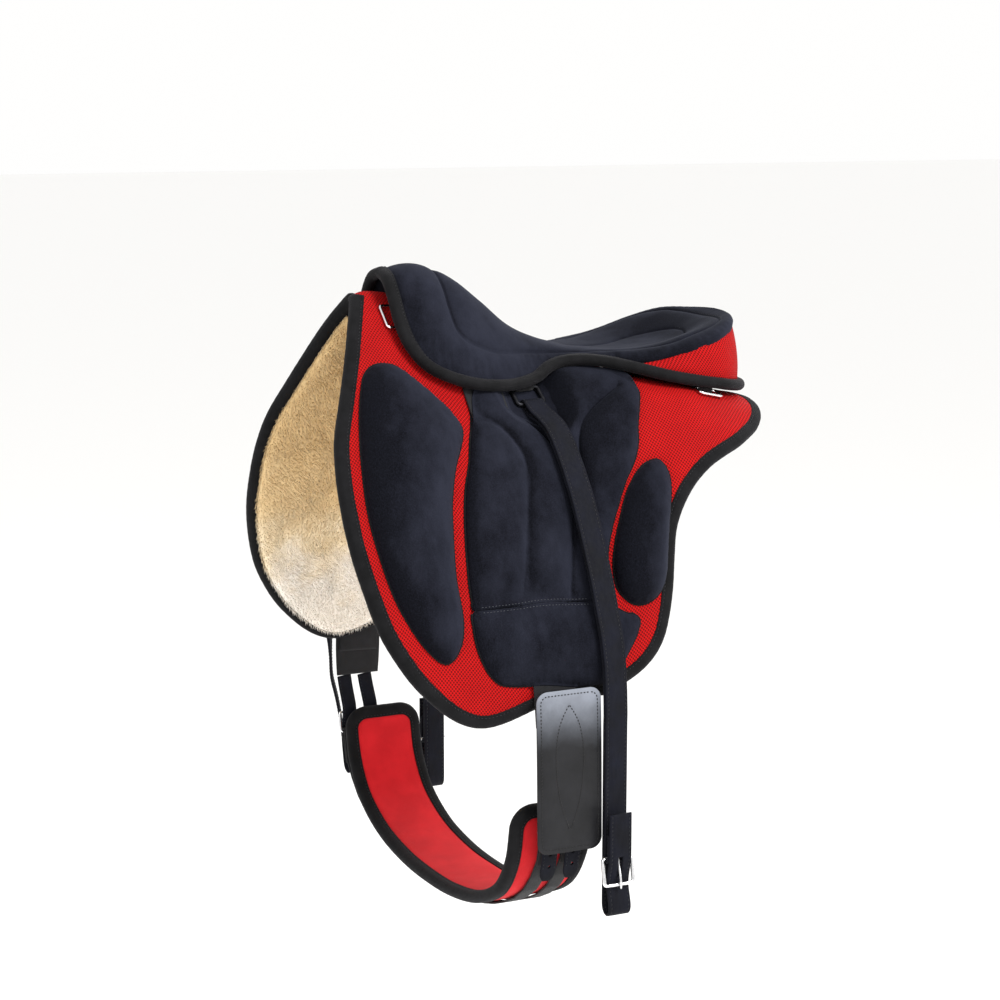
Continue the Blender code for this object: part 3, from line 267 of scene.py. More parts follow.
def sheet_z(x, y):
    """Height of the panels' outer face over the plan point."""
    x, y = np.atleast_1d(np.abs(x)).astype(float), np.atleast_1d(y).astype(float)
    out = np.empty(len(x))
    for n, (a, b) in enumerate(zip(x, y)):
        row = sheet(np.full(len(S_GRID), b), S_GRID)
        out[n] = np.interp(a, row[:, 0], row[:, 2])
    return out


FRONT = catmull(FRONT_EDGE, 6)
REAR = catmull(REAR_EDGE[:2] + [(88, 266), (114, 260), (136, 247), (153, 231), (171, 211)] + REAR_EDGE[6:], 6)
EDGE_LOOP = even(np.vstack([FRONT[:, ::-1], REAR[::-1, ::-1]]), 460)          # (y, s), down the front edge and up the rear one
for _ in range(90):
    EDGE_LOOP[1:-1] = np.where(EDGE_LOOP[1:-1, 1:] > 436, (EDGE_LOOP[:-2] + 2 * EDGE_LOOP[1:-1] + EDGE_LOOP[2:]) / 4, EDGE_LOOP[1:-1])


def at_side(side, points):
    points = np.asarray(points, float)
    return points if side > 0 else points * np.array([-1.0, 1.0, 1.0])


def fit(x, y, z):
    return np.array([x, y, z - DATUM], float)


# ---------------------------------------------------------------- meshes
def make(name, verts, faces, mat, body=ROOT, replaces=(), uv=None, smooth=True):
    """A mesh object from points in millimetres. uv holds a pair in metres for each point."""
    mesh = bpy.data.meshes.new(name)
    mesh.from_pydata((np.asarray(verts, float) * 0.001).tolist(), [], [list(map(int, f)) for f in faces])
    if uv is not None:
        layer = mesh.uv_layers.new(name="cut")
        loops = np.empty(len(mesh.loops), np.int32)
        mesh.loops.foreach_get("vertex_index", loops)
        layer.data.foreach_set("uv", (np.asarray(uv, float)[loops] * 0.001).astype(np.float32).ravel())
    mesh.materials.append(mat)
    if smooth:
        mesh.shade_smooth()
    obj = bpy.data.objects.new(name, mesh)
    bpy.context.scene.collection.objects.link(obj)
    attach(obj, body)
    if replaces:
        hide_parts(*replaces)
    return obj


def outward(faces, verts):
    """The faces of a closed mesh, turned to face out."""
    v = np.asarray(verts, float)
    tris = np.array([(f[0], f[i], f[i + 1]) for f in faces for i in range(1, len(f) - 1)])
    total = np.einsum("ij,ij->", v[tris[:, 0]], np.cross(v[tris[:, 1]], v[tris[:, 2]]))
    return faces if total > 0 else [tuple(f)[::-1] for f in faces]


def lattice(loop, step, gap):
    """Points of an even lattice inside the outline, more than gap from it."""
    low, high = loop.min(0), loop.max(0)
    rows = []
    for k, r in enumerate(np.arange(low[1], high[1], step * 0.866)):
        x = np.arange(low[0] + (k % 2) * step / 2, high[0], step)
        rows.append(np.stack([x, np.full(len(x), r)], 1))
    points = np.concatenate(rows)
    points = points[inside(points, loop)]
    return points[distance(points, loop, True)[0] > gap]


def fill(loop, *more):
    """Triangles over the closed outline through the further points."""
    points = np.vstack([loop, *more])
    verts, _, faces, _, _, _ = delaunay_2d_cdt([Vector(p) for p in points], [], [list(range(len(loop)))], 1, 1e-4)
    return np.array([tuple(v) for v in verts]), [tuple(f) for f in faces]


def flat_mesh(outline, step, rings=(0.8, 2.0, 3.8), edge_step=None, seams=()):
    """Triangles over a closed outline: rings of points beside the edge, points along each seam, then an even lattice.

    Gives the points, the triangles, how many points the edge has, and which points lie on a seam.
    """
    loop = at_pitch(outline, edge_step or step, closed=True)
    if signed_area(loop) < 0:
        loop = loop[::-1].copy()
    cloud = []
    for r in rings:
        ring = inset_loop(loop, -r, closed=True)
        cloud.append(ring[inside(ring, loop) & (distance(ring, loop, True)[0] > r * 0.93)])
    cloud.append(lattice(loop, step, (rings[-1] if rings else 0) + 0.6 * step))
    cloud = np.vstack(cloud)
    lines = []
    for seam in seams:
        line = at_pitch(seam, step * 0.7)
        line = line[inside(line, loop)]
        line = line[distance(line, loop, True)[0] > 0.6]
        for other in lines:
            if len(line):
                line = line[distance(line, other)[0] > 0.5]
        if len(line) > 1:
            lines.append(line)
    for line in lines:
        for gap in (1.3, 2.8):
            cloud = cloud[distance(cloud, line)[0] > 1.1] if gap < 2 else cloud
            for sign in (-1, 1):
                beside = inset_loop(line, sign * gap)
                beside = beside[inside(beside, loop) & (distance(beside, loop, True)[0] > 1.0)]
                for other in lines:
                    if len(beside):
                        beside = beside[distance(beside, other)[0] > gap * 0.93]
                if len(beside):
                    cloud = cloud[distance(cloud, beside)[0] > 0.9]
                    cloud = np.vstack([cloud, beside])
    n = len(loop)
    verts, faces = fill(loop, cloud, *lines)
    on_seam = np.zeros(len(verts), bool)
    for line in lines:
        on_seam |= distance(verts, line)[0] < 0.02
    return verts, faces, n, on_seam


def membrane(q, faces, fixed, rounds=500, pull=1.93):
    """Height of a skin over the mesh, held at the fixed points and blown up evenly, from 0 to 1."""
    f = np.asarray(faces)
    a = np.concatenate([f[:, 0], f[:, 1], f[:, 2], f[:, 1], f[:, 2], f[:, 0]])
    b = np.concatenate([f[:, 1], f[:, 2], f[:, 0], f[:, 0], f[:, 1], f[:, 2]])
    w = 1.0 / np.maximum(((q[a] - q[b]) ** 2).sum(1), 0.05)
    total = np.bincount(a, w, len(q))
    last = h = np.zeros(len(q))
    for _ in range(rounds):
        new = (np.bincount(a, w * h[b], len(q)) + 1.0) / total
        new[fixed] = 0.0
        h, last = pull * (new - last) + last, h
        h[fixed] = 0.0
    h = np.maximum(h, 0.0)
    return h / h.max()


def shell(outline, step, place, low, rings=(0.8, 2.0, 3.8), edge_step=None, coarse=14.0, seams=()):
    """Closed pad: place(q, faces, n, on_seam) lifts the fine top, low(q) the coarse underside, joined round the outline."""
    q, top, n, on_seam = flat_mesh(outline, step, rings, edge_step, seams)
    verts = place(q, top, n, on_seam)
    bv, bf = fill(q[:n], lattice(q[:n], coarse, coarse * 0.5))
    m = len(verts)
    faces = list(top) + [tuple((i if i < n else i - n + m) for i in f)[::-1] for f in bf]
    if len(bv) > n:
        verts = np.vstack([verts, low(bv[n:])])
    return verts, outward(faces, verts), np.vstack([q, bv[n:]])


def grid_faces(rows, cols, wrap_rows=False, wrap_cols=False):
    faces = []
    for i in range(rows if wrap_rows else rows - 1):
        for j in range(cols if wrap_cols else cols - 1):
            a, b = i * cols + j, i * cols + (j + 1) % cols
            c, d = ((i + 1) % rows) * cols + (j + 1) % cols, ((i + 1) % rows) * cols + j
            faces.append((a, b, c, d))
    return faces


def sweep(line, u, v, profile, closed=False, caps=True):
    """Profile points (a, b) carried along the line on the directions u and v. profile may change along the line."""
    line, u, v = np.asarray(line, float), np.asarray(u, float), np.asarray(v, float)
    n = len(line)
    profile = np.asarray(profile, float)
    if profile.ndim == 2:
        profile = np.broadcast_to(profile, (n, *profile.shape))
    m = profile.shape[1]
    verts = (line[:, None, :] + u[:, None, :] * profile[:, :, :1] + v[:, None, :] * profile[:, :, 1:]).reshape(-1, 3)
    faces = grid_faces(n, m, wrap_rows=closed, wrap_cols=True)
    along = length_along(line)
    round_it = length_along(np.vstack([profile[0], profile[0][:1]]))[:-1]
    uv = np.stack([np.repeat(along, m), np.tile(round_it, n)], 1)
    if not closed and caps:
        faces += [tuple(range(m - 1, -1, -1)), tuple(range((n - 1) * m, n * m))]
    return verts, outward(faces, verts), uv


def join(*parts):
    """Several (verts, faces, uv) as one."""
    verts, faces, uvs, at = [], [], [], 0
    for v, f, uv in parts:
        verts.append(v)
        faces += [tuple(i + at for i in face) for face in f]
        uvs.append(uv)
        at += len(v)
    return np.vstack(verts), faces, np.vstack(uvs)


def oval(a, b, count, power=2.0):
    t = np.linspace(0, 2 * math.pi, count, endpoint=False)
    c, s = np.cos(t), np.sin(t)
    return np.stack([a * np.sign(c) * np.abs(c) ** (2 / power), b * np.sign(s) * np.abs(s) ** (2 / power)], 1)


def strap_profile(width, thick, groove=None, edge=1.0):
    """Section of a flat strap with rounded edges, and a pressed line beside each edge when groove is set."""
    w, t = width / 2, thick / 2
    half = [(w, 0.0), (w - 0.25 * edge, t * 0.62), (w - edge, t)]
    if groove:
        half += [(w - groove + 0.7, t), (w - groove, t - 0.3), (w - groove - 0.7, t)]
    half += [(w * 0.4, t + 0.04), (0.0, t + 0.06)]
    top = half + [(-a, b) for a, b in half[-2::-1]]
    return np.array(top + [(-a, -b) for a, b in top[1:-1]])


def frames(line, across):
    """Width and face directions for a strap along the line, with the face mitred at bends."""
    line, across = np.asarray(line, float), unit(across)
    a = np.vstack([line[1:2] - line[:1], line[1:] - line[:-1]])
    b = np.vstack([line[1:] - line[:-1], line[-1:] - line[-2:-1]])
    a, b = unit(a), unit(b)
    t = unit(a + b)
    face = unit(np.cross(t, across))
    across = unit(np.cross(face, t))
    stretch = 1.0 / np.maximum(0.75, np.sqrt(np.maximum(0.0, (1 + (a * b).sum(1)) / 2)))
    return across, face * stretch[:, None]


def strap(name, line, across, profile, mat, body=ROOT, replaces=()):
    u, v = frames(line, across)
    verts, faces, uv = sweep(line, u, v, profile)
    return make(name, verts, faces, mat, body, replaces, uv)


def wire_mesh(line, radius, closed=False, sides=12):
    """Round wire along the line, with directions carried smoothly along it."""
    line = np.asarray(line, float)
    n = len(line)
    if closed:
        t = unit(np.roll(line, -1, 0) - np.roll(line, 1, 0))
    else:
        t = unit(np.vstack([line[1:], line[-1:]]) - np.vstack([line[:1], line[:-1]]))
    u = np.empty_like(line)
    start = np.cross(t[0], (0.31, 0.52, 0.79))
    u[0] = unit(start)
    for i in range(1, n):
        u[i] = unit(u[i - 1] - t[i] * (u[i - 1] @ t[i]))
    if closed:
        twist = math.atan2(float(np.cross(u[-1], u[0]) @ t[0]), float(u[-1] @ u[0]))
        for i in range(n):
            a = twist * i / n
            u[i] = u[i] * math.cos(a) + np.cross(t[i], u[i]) * math.sin(a)
    v = np.cross(t, u)
    radius = np.broadcast_to(radius, (n,))
    profile = oval(1.0, 1.0, sides)[None] * radius[:, None, None]
    return sweep(line, u, v, profile, closed=closed)


def stitches(paths, mat, name, body=ROOT, pitch=4.2, long=2.9, thick=0.42, sink=0.25):
    """Rows of thread: each path is (points, normals), and each stitch a short bar that dips at its ends."""
    parts = []
    for points, normals in paths:
        points, normals = np.asarray(points, float), unit(normals)
        along = length_along(points)
        for at in np.arange(pitch / 2, along[-1] - pitch / 2, pitch):
            w = at + np.array([-0.5, -0.22, 0.22, 0.5]) * long
            p = np.stack([np.interp(w, along, points[:, k]) for k in range(3)], 1)
            n = unit(np.array([np.interp(at, along, normals[:, k]) for k in range(3)]))
            p += n * np.array([-sink - 0.25, 0.18, 0.18, -sink - 0.25])[:, None]
            t = unit(p[-1] - p[0])
            side = unit(np.cross(t, n))
            prof = np.array([(1, 0), (0, 1), (-1, 0), (0, -1)]) * thick
            u = np.tile(side, (4, 1))
            v = np.tile(n, (4, 1))
            scale = np.array([0.7, 1.0, 1.0, 0.7])
            verts = (p[:, None, :] + (u[:, None, :] * prof[None, :, :1] + v[:, None, :] * prof[None, :, 1:]) * scale[:, None, None]).reshape(-1, 3)
            parts.append(verts)
    if not parts:
        return None
    base = grid_faces(4, 4, wrap_cols=True) + [(3, 2, 1, 0), (12, 13, 14, 15)]
    base = outward(base, parts[0])
    faces = [tuple(i + 16 * k for i in f) for k in range(len(parts)) for f in base]
    verts = np.vstack(parts)
    uv = np.tile(np.stack([np.repeat(np.arange(4.0), 4), np.tile(np.arange(4.0), 4)], 1), (len(parts), 1))
    return make(name, verts, faces, mat, body, uv=uv)


# ---------------------------------------------------------------- materials
class Finish:
    """A Principled material and short hands for its nodes."""

    def __init__(self, name, slot, **sockets):
        self.mat = bpy.data.materials.new(name)
        self.mat["slot"] = slot
        self.mat.use_nodes = True
        self.nodes, self.links = self.mat.node_tree.nodes, self.mat.node_tree.links
        self.bsdf = self.nodes["Principled BSDF"]
        for key, value in sockets.items():
            self.bsdf.inputs[key.replace("_", " ")].default_value = value
        self.coord = self.nodes.new("ShaderNodeTexCoord")
        self.uv, self.place = self.coord.outputs["UV"], self.coord.outputs["Object"]

    def put(self, socket, value):
        if isinstance(value, bpy.types.NodeSocket):
            self.links.new(value, socket)
        else:
            socket.default_value = value

    def math(self, op, a, b=0.0, c=0.0, clamp=False):
        node = self.nodes.new("ShaderNodeMath")
        node.operation, node.use_clamp = op, clamp
        for socket, value in zip(node.inputs, (a, b, c)):
            self.put(socket, value)
        return node.outputs[0]

    def noise(self, vector, scale, detail=2.0, rough=0.5):
        node = self.nodes.new("ShaderNodeTexNoise")
        self.links.new(vector, node.inputs["Vector"])
        node.inputs["Scale"].default_value = scale
        node.inputs["Detail"].default_value = detail
        node.inputs["Roughness"].default_value = rough
        return node.outputs[0]

    def cells(self, vector, scale, feature="F1"):
        node = self.nodes.new("ShaderNodeTexVoronoi")
        node.feature = feature
        self.links.new(vector, node.inputs["Vector"])
        node.inputs["Scale"].default_value = scale
        return node.outputs["Distance"]

    def split(self, vector):
        node = self.nodes.new("ShaderNodeSeparateXYZ")
        self.links.new(vector, node.inputs[0])
        return node.outputs

    def stretch(self, vector, scale):
        node = self.nodes.new("ShaderNodeMapping")
        self.links.new(vector, node.inputs["Vector"])
        node.inputs["Scale"].default_value = scale
        return node.outputs[0]

    def ramp(self, fac, *stops):
        node = self.nodes.new("ShaderNodeValToRGB")
        self.put(node.inputs[0], fac)
        ramp = node.color_ramp
        while len(ramp.elements) < len(stops):
            ramp.elements.new(0.5)
        for element, (at, colour) in zip(ramp.elements, stops):
            element.position = at
            element.color = (*colour, 1) if isinstance(colour, tuple) else (colour, colour, colour, 1)
        return node.outputs[0]

    def mix(self, fac, a, b, kind="MIX"):
        node = self.nodes.new("ShaderNodeMix")
        node.data_type, node.blend_type = "RGBA", kind
        self.put(node.inputs[0], fac)
        self.put(node.inputs[6], a if isinstance(a, bpy.types.NodeSocket) else (*a, 1))
        self.put(node.inputs[7], b if isinstance(b, bpy.types.NodeSocket) else (*b, 1))
        return node.outputs[2]

    def colour(self, value):
        self.put(self.bsdf.inputs["Base Color"], value)

    def roughness(self, value):
        self.put(self.bsdf.inputs["Roughness"], value)

    def bump(self, *layers):
        """Layers of (height, distance in metres, strength), the coarsest first."""
        last = None
        for height, depth, strength in layers:
            node = self.nodes.new("ShaderNodeBump")
            node.inputs["Strength"].default_value = strength
            node.inputs["Distance"].default_value = depth
            self.links.new(height, node.inputs["Height"])
            if last is not None:
                self.links.new(last, node.inputs["Normal"])
            last = node.outputs[0]
        self.links.new(last, self.bsdf.inputs["Normal"])


def spacer_mesh(name, slot, thread, light, hole, pitch=3.7, tall=1.2):
    """Knitted spacer mesh: rows of small openings, each row set half a pitch along."""
    m = Finish(name, slot, Roughness=0.78, Sheen_Weight=0.02, Sheen_Roughness=0.4)
    m.bsdf.inputs["Sheen Tint"].default_value = (1.0, 0.2, 0.2, 1)
    m.bsdf.inputs["Specular IOR Level"].default_value = 0.12
    u, v, _ = m.split(m.uv)
    wobble = m.math("MULTIPLY", m.math("SUBTRACT", m.noise(m.uv, 60, 1), 0.5), 0.0012)
    u = m.math("MULTIPLY", m.math("ADD", u, wobble), 1000.0 / pitch)
    v = m.math("MULTIPLY", m.math("ADD", v, wobble), 1000.0 / (pitch * tall))

    def cell(du, dv):
        a = m.math("SUBTRACT", m.math("FRACT", m.math("ADD", u, du)), 0.5)
        b = m.math("SUBTRACT", m.math("FRACT", m.math("ADD", v, dv)), 0.5)
        return m.math("ADD", m.math("MULTIPLY", a, a), m.math("MULTIPLY", m.math("MULTIPLY", b, b), 1.3))

    near = m.math("SQRT", m.math("MINIMUM", cell(0.0, 0.0), cell(0.5, 0.5)))
    opening = m.ramp(near, (0.17, 1.0), (0.34, 0.0))
    broad = m.noise(m.uv, 14, 3, 0.6)
    base = m.mix(m.ramp(broad, (0.3, 0.0), (0.75, 1.0)), thread, light)
    m.colour(m.mix(m.math("MULTIPLY", opening, 0.84), base, hole))
    m.bump((m.math("SUBTRACT", 1.0, opening), 0.0009, 0.8), (m.noise(m.uv, 2600, 1), 0.0002, 0.35))
    return m.mat


def suede(name, slot, dark, light, tint, nap=0.5):
    m = Finish(name, slot, Roughness=0.95, Sheen_Weight=nap, Sheen_Roughness=0.45)
    m.bsdf.inputs["Sheen Tint"].default_value = (*tint, 1)
    m.bsdf.inputs["Specular IOR Level"].default_value = 0.09
    brushed = m.noise(m.place, 26, 4, 0.62)
    smears = m.noise(m.stretch(m.place, (75, 75, 26)), 1.0, 4, 0.66)
    fine = m.noise(m.place, 900, 2, 0.7)
    swathes = m.noise(m.place, 9.5, 2, 0.5)
    value = m.math("ADD", m.math("ADD", m.math("MULTIPLY", brushed, 0.35), m.math("MULTIPLY", smears, 0.25)), m.math("MULTIPLY", swathes, 0.4))
    # Painted light and shade: faces turned back and up are made lighter, faces turned forward and down darker, from the
    # object-space normal.
    _, facing_back, facing_up = m.split(m.coord.outputs["Normal"])
    painted_facing_light = m.math("ADD", m.math("MULTIPLY", facing_back, 0.30), m.math("MULTIPLY", facing_up, 0.07))
    body = m.mix(m.ramp(m.math("ADD", value, painted_facing_light), (0.40, 0.0), (0.70, 1.0)), dark, light)
    m.colour(m.mix(m.ramp(fine, (0.4, 0.0), (0.8, 0.32)), body, tuple(c * 1.9 for c in light)))
    m.roughness(m.ramp(value, (0.3, 0.98), (0.7, 0.86)))
    m.bump((value, 0.0006, 0.35), (fine, 0.00035, 0.5))
    return m.mat


def tape(name, slot, dark, light):
    """Bias tape: fine ribs across a close cloth."""
    m = Finish(name, slot, Roughness=0.8, Sheen_Weight=0.05, Sheen_Roughness=0.4)
    m.bsdf.inputs["Sheen Tint"].default_value = (0.78, 0.76, 0.86, 1)
    m.bsdf.inputs["Specular IOR Level"].default_value = 0.15
    u, v, _ = m.split(m.uv)
    ribs = m.math("SINE", m.math("MULTIPLY", m.math("ADD", u, m.math("MULTIPLY", v, 0.9)), 2 * math.pi * 900))
    cross = m.math("SINE", m.math("MULTIPLY", m.math("SUBTRACT", u, m.math("MULTIPLY", v, 0.9)), 2 * math.pi * 900))
    weave = m.math("MULTIPLY", m.math("ADD", ribs, cross), 0.25)
    worn = m.noise(m.place, 55, 3, 0.6)
    m.colour(m.mix(m.ramp(worn, (0.35, 0.0), (0.75, 1.0)), dark, light))
    m.bump((weave, 0.00035, 0.6), (m.noise(m.place, 1500, 2), 0.0003, 0.4))
    return m.mat


def pile(name, slot):
    """Wool pile, gold above and cream below, with painted shade darkening it between the locks."""
    m = Finish(name, slot, Roughness=0.95, Sheen_Weight=0.3, Sheen_Roughness=0.5)
    m.bsdf.inputs["Sheen Tint"].default_value = (1.0, 0.93, 0.8, 1)
    m.bsdf.inputs["Specular IOR Level"].default_value = 0.1
    m.bsdf.inputs["Subsurface Weight"].default_value = 0.0
    _, _, z = m.split(m.place)
    patches = m.noise(m.place, 16, 3, 0.6)
    tall = m.math("ADD", m.math("MULTIPLY", z, 5.5), 1.55)
    fall = m.math("ADD", tall, m.math("MULTIPLY", m.math("SUBTRACT", patches, 0.5), 0.9), clamp=True)
    base = m.ramp(fall, (0.0, (0.98, 0.93, 0.85)), (0.34, (0.90, 0.76, 0.53)), (0.62, (0.82, 0.63, 0.36)), (1.0, (0.74, 0.54, 0.28)))
    locks = m.noise(m.place, 260, 3, 0.7)
    # Painted shade: darker where the locks' bump is low, in the hollows between them.
    m.colour(m.mix(m.ramp(locks, (0.3, 0.10), (0.62, 0.0)), base, (0.66, 0.48, 0.28)))
    m.bump((locks, 0.0016, 0.5), (m.noise(m.place, 1400, 2, 0.7), 0.0006, 0.5))
    return m.mat


def webbing(name, slot, colour, light, uv=True):
    """Woven webbing: raised ribs along it, crossed by the weft."""
    m = Finish(name, slot, Roughness=0.75, Sheen_Weight=0.07)
    m.bsdf.inputs["Specular IOR Level"].default_value = 0.3
    u, v, w = m.split(m.uv if uv else m.place)
    across = v if uv else w
    warp = m.math("SINE", m.math("MULTIPLY", u, 2 * math.pi * 620))
    weft = m.math("SINE", m.math("MULTIPLY", across, 2 * math.pi * 480))
    both = m.math("MULTIPLY", warp, weft)
    worn = m.noise(m.place, 90, 3)
    m.colour(m.mix(m.ramp(m.math("ADD", m.math("MULTIPLY", both, 0.3), worn), (0.3, 0.0), (0.9, 1.0)), colour, light))
    m.bump((both, 0.0004, 0.7), (m.noise(m.place, 1300, 1), 0.0002, 0.3))
    return m.mat


def leather(name, slot, colour, light, rough, coat=0.0, grain=650, shine=0.45, painted_highlight=None):
    """Grained leather. The pale colour given last is a painted highlight on its outer face, fading away down the piece
    over its first 60 mm.
    """
    m = Finish(name, slot, Roughness=rough, Coat_Weight=coat, Coat_Roughness=0.28)
    m.bsdf.inputs["Specular IOR Level"].default_value = shine
    pores = m.cells(m.place, grain, "DISTANCE_TO_EDGE")
    broad = m.noise(m.place, 40, 4, 0.6)
    scuffs = m.noise(m.stretch(m.place, (300, 300, 60)), 1.0, 3, 0.6)
    body = m.mix(m.ramp(broad, (0.35, 0.0), (0.72, 1.0)), colour, light)
    if painted_highlight:
        # Painted highlight: the outer face is made pale at the top, standing in for light caught there, and fades to
        # the leather's own colour downwards.
        down = m.math("ADD", m.math("MULTIPLY", m.split(m.uv)[0], 9.0), m.math("MULTIPLY", m.math("SUBTRACT", broad, 0.5), 0.25))
        outer = m.ramp(m.split(m.coord.outputs["Normal"])[0], (0.0, 0.0), (0.35, 1.0))
        highlight_fade = m.ramp(down, (0.06, 1.0), (0.18, 0.62), (0.29, 0.36), (0.40, 0.16), (0.54, 0.0))
        body = m.mix(m.math("MULTIPLY", highlight_fade, outer), body, painted_highlight)
    m.colour(body)
    m.roughness(m.ramp(m.math("ADD", m.math("MULTIPLY", broad, 0.5), m.math("MULTIPLY", scuffs, 0.5)),
                       (0.35, rough - 0.06), (0.7, rough + 0.14)))
    m.bump((broad, 0.0008, 0.25), (m.ramp(pores, (0.0, 0.0), (0.14, 1.0)), 0.00016, 0.55), (scuffs, 0.0001, 0.25))
    return m.mat


def plated(name, slot, bright=(0.80, 0.80, 0.81), dulled=(0.60, 0.60, 0.62), rough=(0.10, 0.30)):
    m = Finish(name, slot, Metallic=1.0, Roughness=0.14)
    marks = m.noise(m.stretch(m.place, (900, 160, 900)), 1.0, 3, 0.6)
    dull = m.noise(m.place, 150, 3, 0.6)
    m.colour(m.mix(m.ramp(dull, (0.4, 0.0), (0.8, 1.0)), bright, dulled))
    m.roughness(m.ramp(marks, (0.3, rough[0]), (0.75, rough[1])))
    m.bump((marks, 0.00004, 0.3))
    return m.mat


def plain_cloth(name, slot, colour, light):
    m = Finish(name, slot, Roughness=0.8, Sheen_Weight=0.08)
    m.bsdf.inputs["Sheen Tint"].default_value = (1.0, 0.5, 0.5, 1)
    m.bsdf.inputs["Specular IOR Level"].default_value = 0.2
    u, v, _ = m.split(m.uv)
    both = m.math("MULTIPLY", m.math("SINE", m.math("MULTIPLY", u, 2 * math.pi * 900)),
                  m.math("SINE", m.math("MULTIPLY", v, 2 * math.pi * 900)))
    broad = m.noise(m.place, 30, 3, 0.6)
    m.colour(m.mix(m.ramp(broad, (0.35, 0.0), (0.75, 1.0)), colour, light))
    m.bump((broad, 0.0008, 0.3), (both, 0.0003, 0.5))
    return m.mat


RED = spacer_mesh("red_spacer_mesh", "red_spacer_mesh", (0.36, 0.0018, 0.0021), (0.47, 0.0036, 0.0035), (0.055, 0.0003, 0.0005), 3.5)
SUEDE = suede("black_suede", "black_suede", (0.0008, 0.0009, 0.0022), (0.0122, 0.0134, 0.0215), (0.45, 0.50, 0.70), 0.045)
BINDING = tape("black_binding", "black_binding", (0.0016, 0.0016, 0.0020), (0.0060, 0.0058, 0.0068))
PILE = pile("cream_fleece", "cream_fleece")
WEB = webbing("black_webbing", "black_webbing", (0.0026, 0.0026, 0.0034), (0.0095, 0.0095, 0.0120))
STRAP = leather("black_strap_leather", "black_leather", (0.0014, 0.0016, 0.0038), (0.0048, 0.0055, 0.0112), 0.76, shine=0.16)
# The guard gets a painted highlight along its top.
SMOOTH = leather("black_guard_leather", "black_leather", (0.006, 0.006, 0.007), (0.012, 0.012, 0.014), 0.42, 0.12, 900, 0.16, painted_highlight=(0.20, 0.215, 0.25))
CHROME = plated("chrome", "chrome")
BLACKED = plated("blackened_steel", "chrome", (0.030, 0.030, 0.034), (0.012, 0.012, 0.014), (0.40, 0.60))
GIRTH = plain_cloth("red_girth_cloth", "red_girth_cloth", (0.49, 0.005, 0.010), (0.62, 0.010, 0.016))
THREAD_DARK = webbing("black_guard_thread", "black_webbing", (0.003, 0.003, 0.003), (0.009, 0.009, 0.009))
THREAD = webbing("black_thread", "black_webbing", (0.005, 0.005, 0.007), (0.013, 0.013, 0.017))
THREAD_GREY = webbing("grey_thread", "black_webbing", (0.045, 0.047, 0.058), (0.080, 0.084, 0.100))


# ---------------------------------------------------------------- panels
def pad_on_sheet(name, side, outline, mat, lift, low, step, replaces, rings=(0.8, 2.0, 3.8), edge_step=None, seams=(),
                 coarse=14.0, body=ROOT):
    """A closed pad on the bent sheet. lift(q, faces, n, on_seam) gives how far each point of its top stands off."""
    verts, faces, uv = shell(outline, step, lambda q, f, n, on: on_sheet(q[:, 0], q[:, 1], lift(q, f, n, on)),
                             lambda q: on_sheet(q[:, 0], q[:, 1], np.full(len(q), low)), rings, edge_step, coarse, seams)
    if side < 0:
        verts, faces = at_side(side, verts), [tuple(f)[::-1] for f in faces]
    obj = make(name, verts, faces, mat, body, replaces, uv)
    return obj


# The sewn patch runs up under the seat and down to the seam it shares with the band.
SEAM = [(-119, 357), (-96, 352), (-60, 340), (-12, 317), (16, 306)]
PATCH = PATCH[:9] + [(-119, 348), SEAM[0], *SEAM[1:], (33, 294)] + PATCH[18:27] + [(110, 92), (101, 74), (84, 58), (64, 47), (42, 44), (27, 43), (20, 48),
         (11, 56), (0, 60), (-26, 66), (-46, 78), (-58, 92), (-66, 106)]
BAND = [(-119, 358), (-121, 374)] + BAND[2:15] + [(50, 331), (40, 322), (30, 312)] + SEAM[:0:-1]


def outline_of(points):
    return at_pitch(catmull(points, 6, closed=True), 2.5, closed=True)


KNEE_LOOP, THIGH_LOOP, PATCH_LOOP, BAND_LOOP = (outline_of(q) for q in (KNEE, THIGH, PATCH, BAND))
RIM_OF_PANEL = inset_loop(even(EDGE_LOOP, 400), 5.4)
PANEL_LOOP = RIM_OF_PANEL[(RIM_OF_PANEL[:, 1] > 23.5) | ((RIM_OF_PANEL[:, 0] < 0) & (RIM_OF_PANEL[:, 1] > 1.5))]
PANEL_LOOP = np.vstack([PANEL_LOOP, [(240, 23.5), (0, 23.5), (-112, 23.5), (-119, 21), (-124, 14), (-127, 6), (-132, 1.5), (-140, 1.2)]])


def under_bar(q, off, floor):
    """Keeps the cloth down in the recess round the stirrup bar."""
    dy = np.maximum(np.abs(q[:, 0] - 0.5) - 20.0, 0)
    ds = np.maximum(np.maximum(60 - q[:, 1], q[:, 1] - 108), 0)
    return np.minimum(off, floor + 0.55 * np.hypot(dy, ds))


def over_web(q, off, top=4.6):
    """Lifts a piece over the rigging web that runs under it."""
    dy = np.abs(q[:, 0] - (-59.0 + 0.045 * q[:, 1])) - 23.0
    k = np.clip(1 - dy / 9.0, 0, 1)
    return np.maximum(off, top * k * k * (3 - 2 * k))


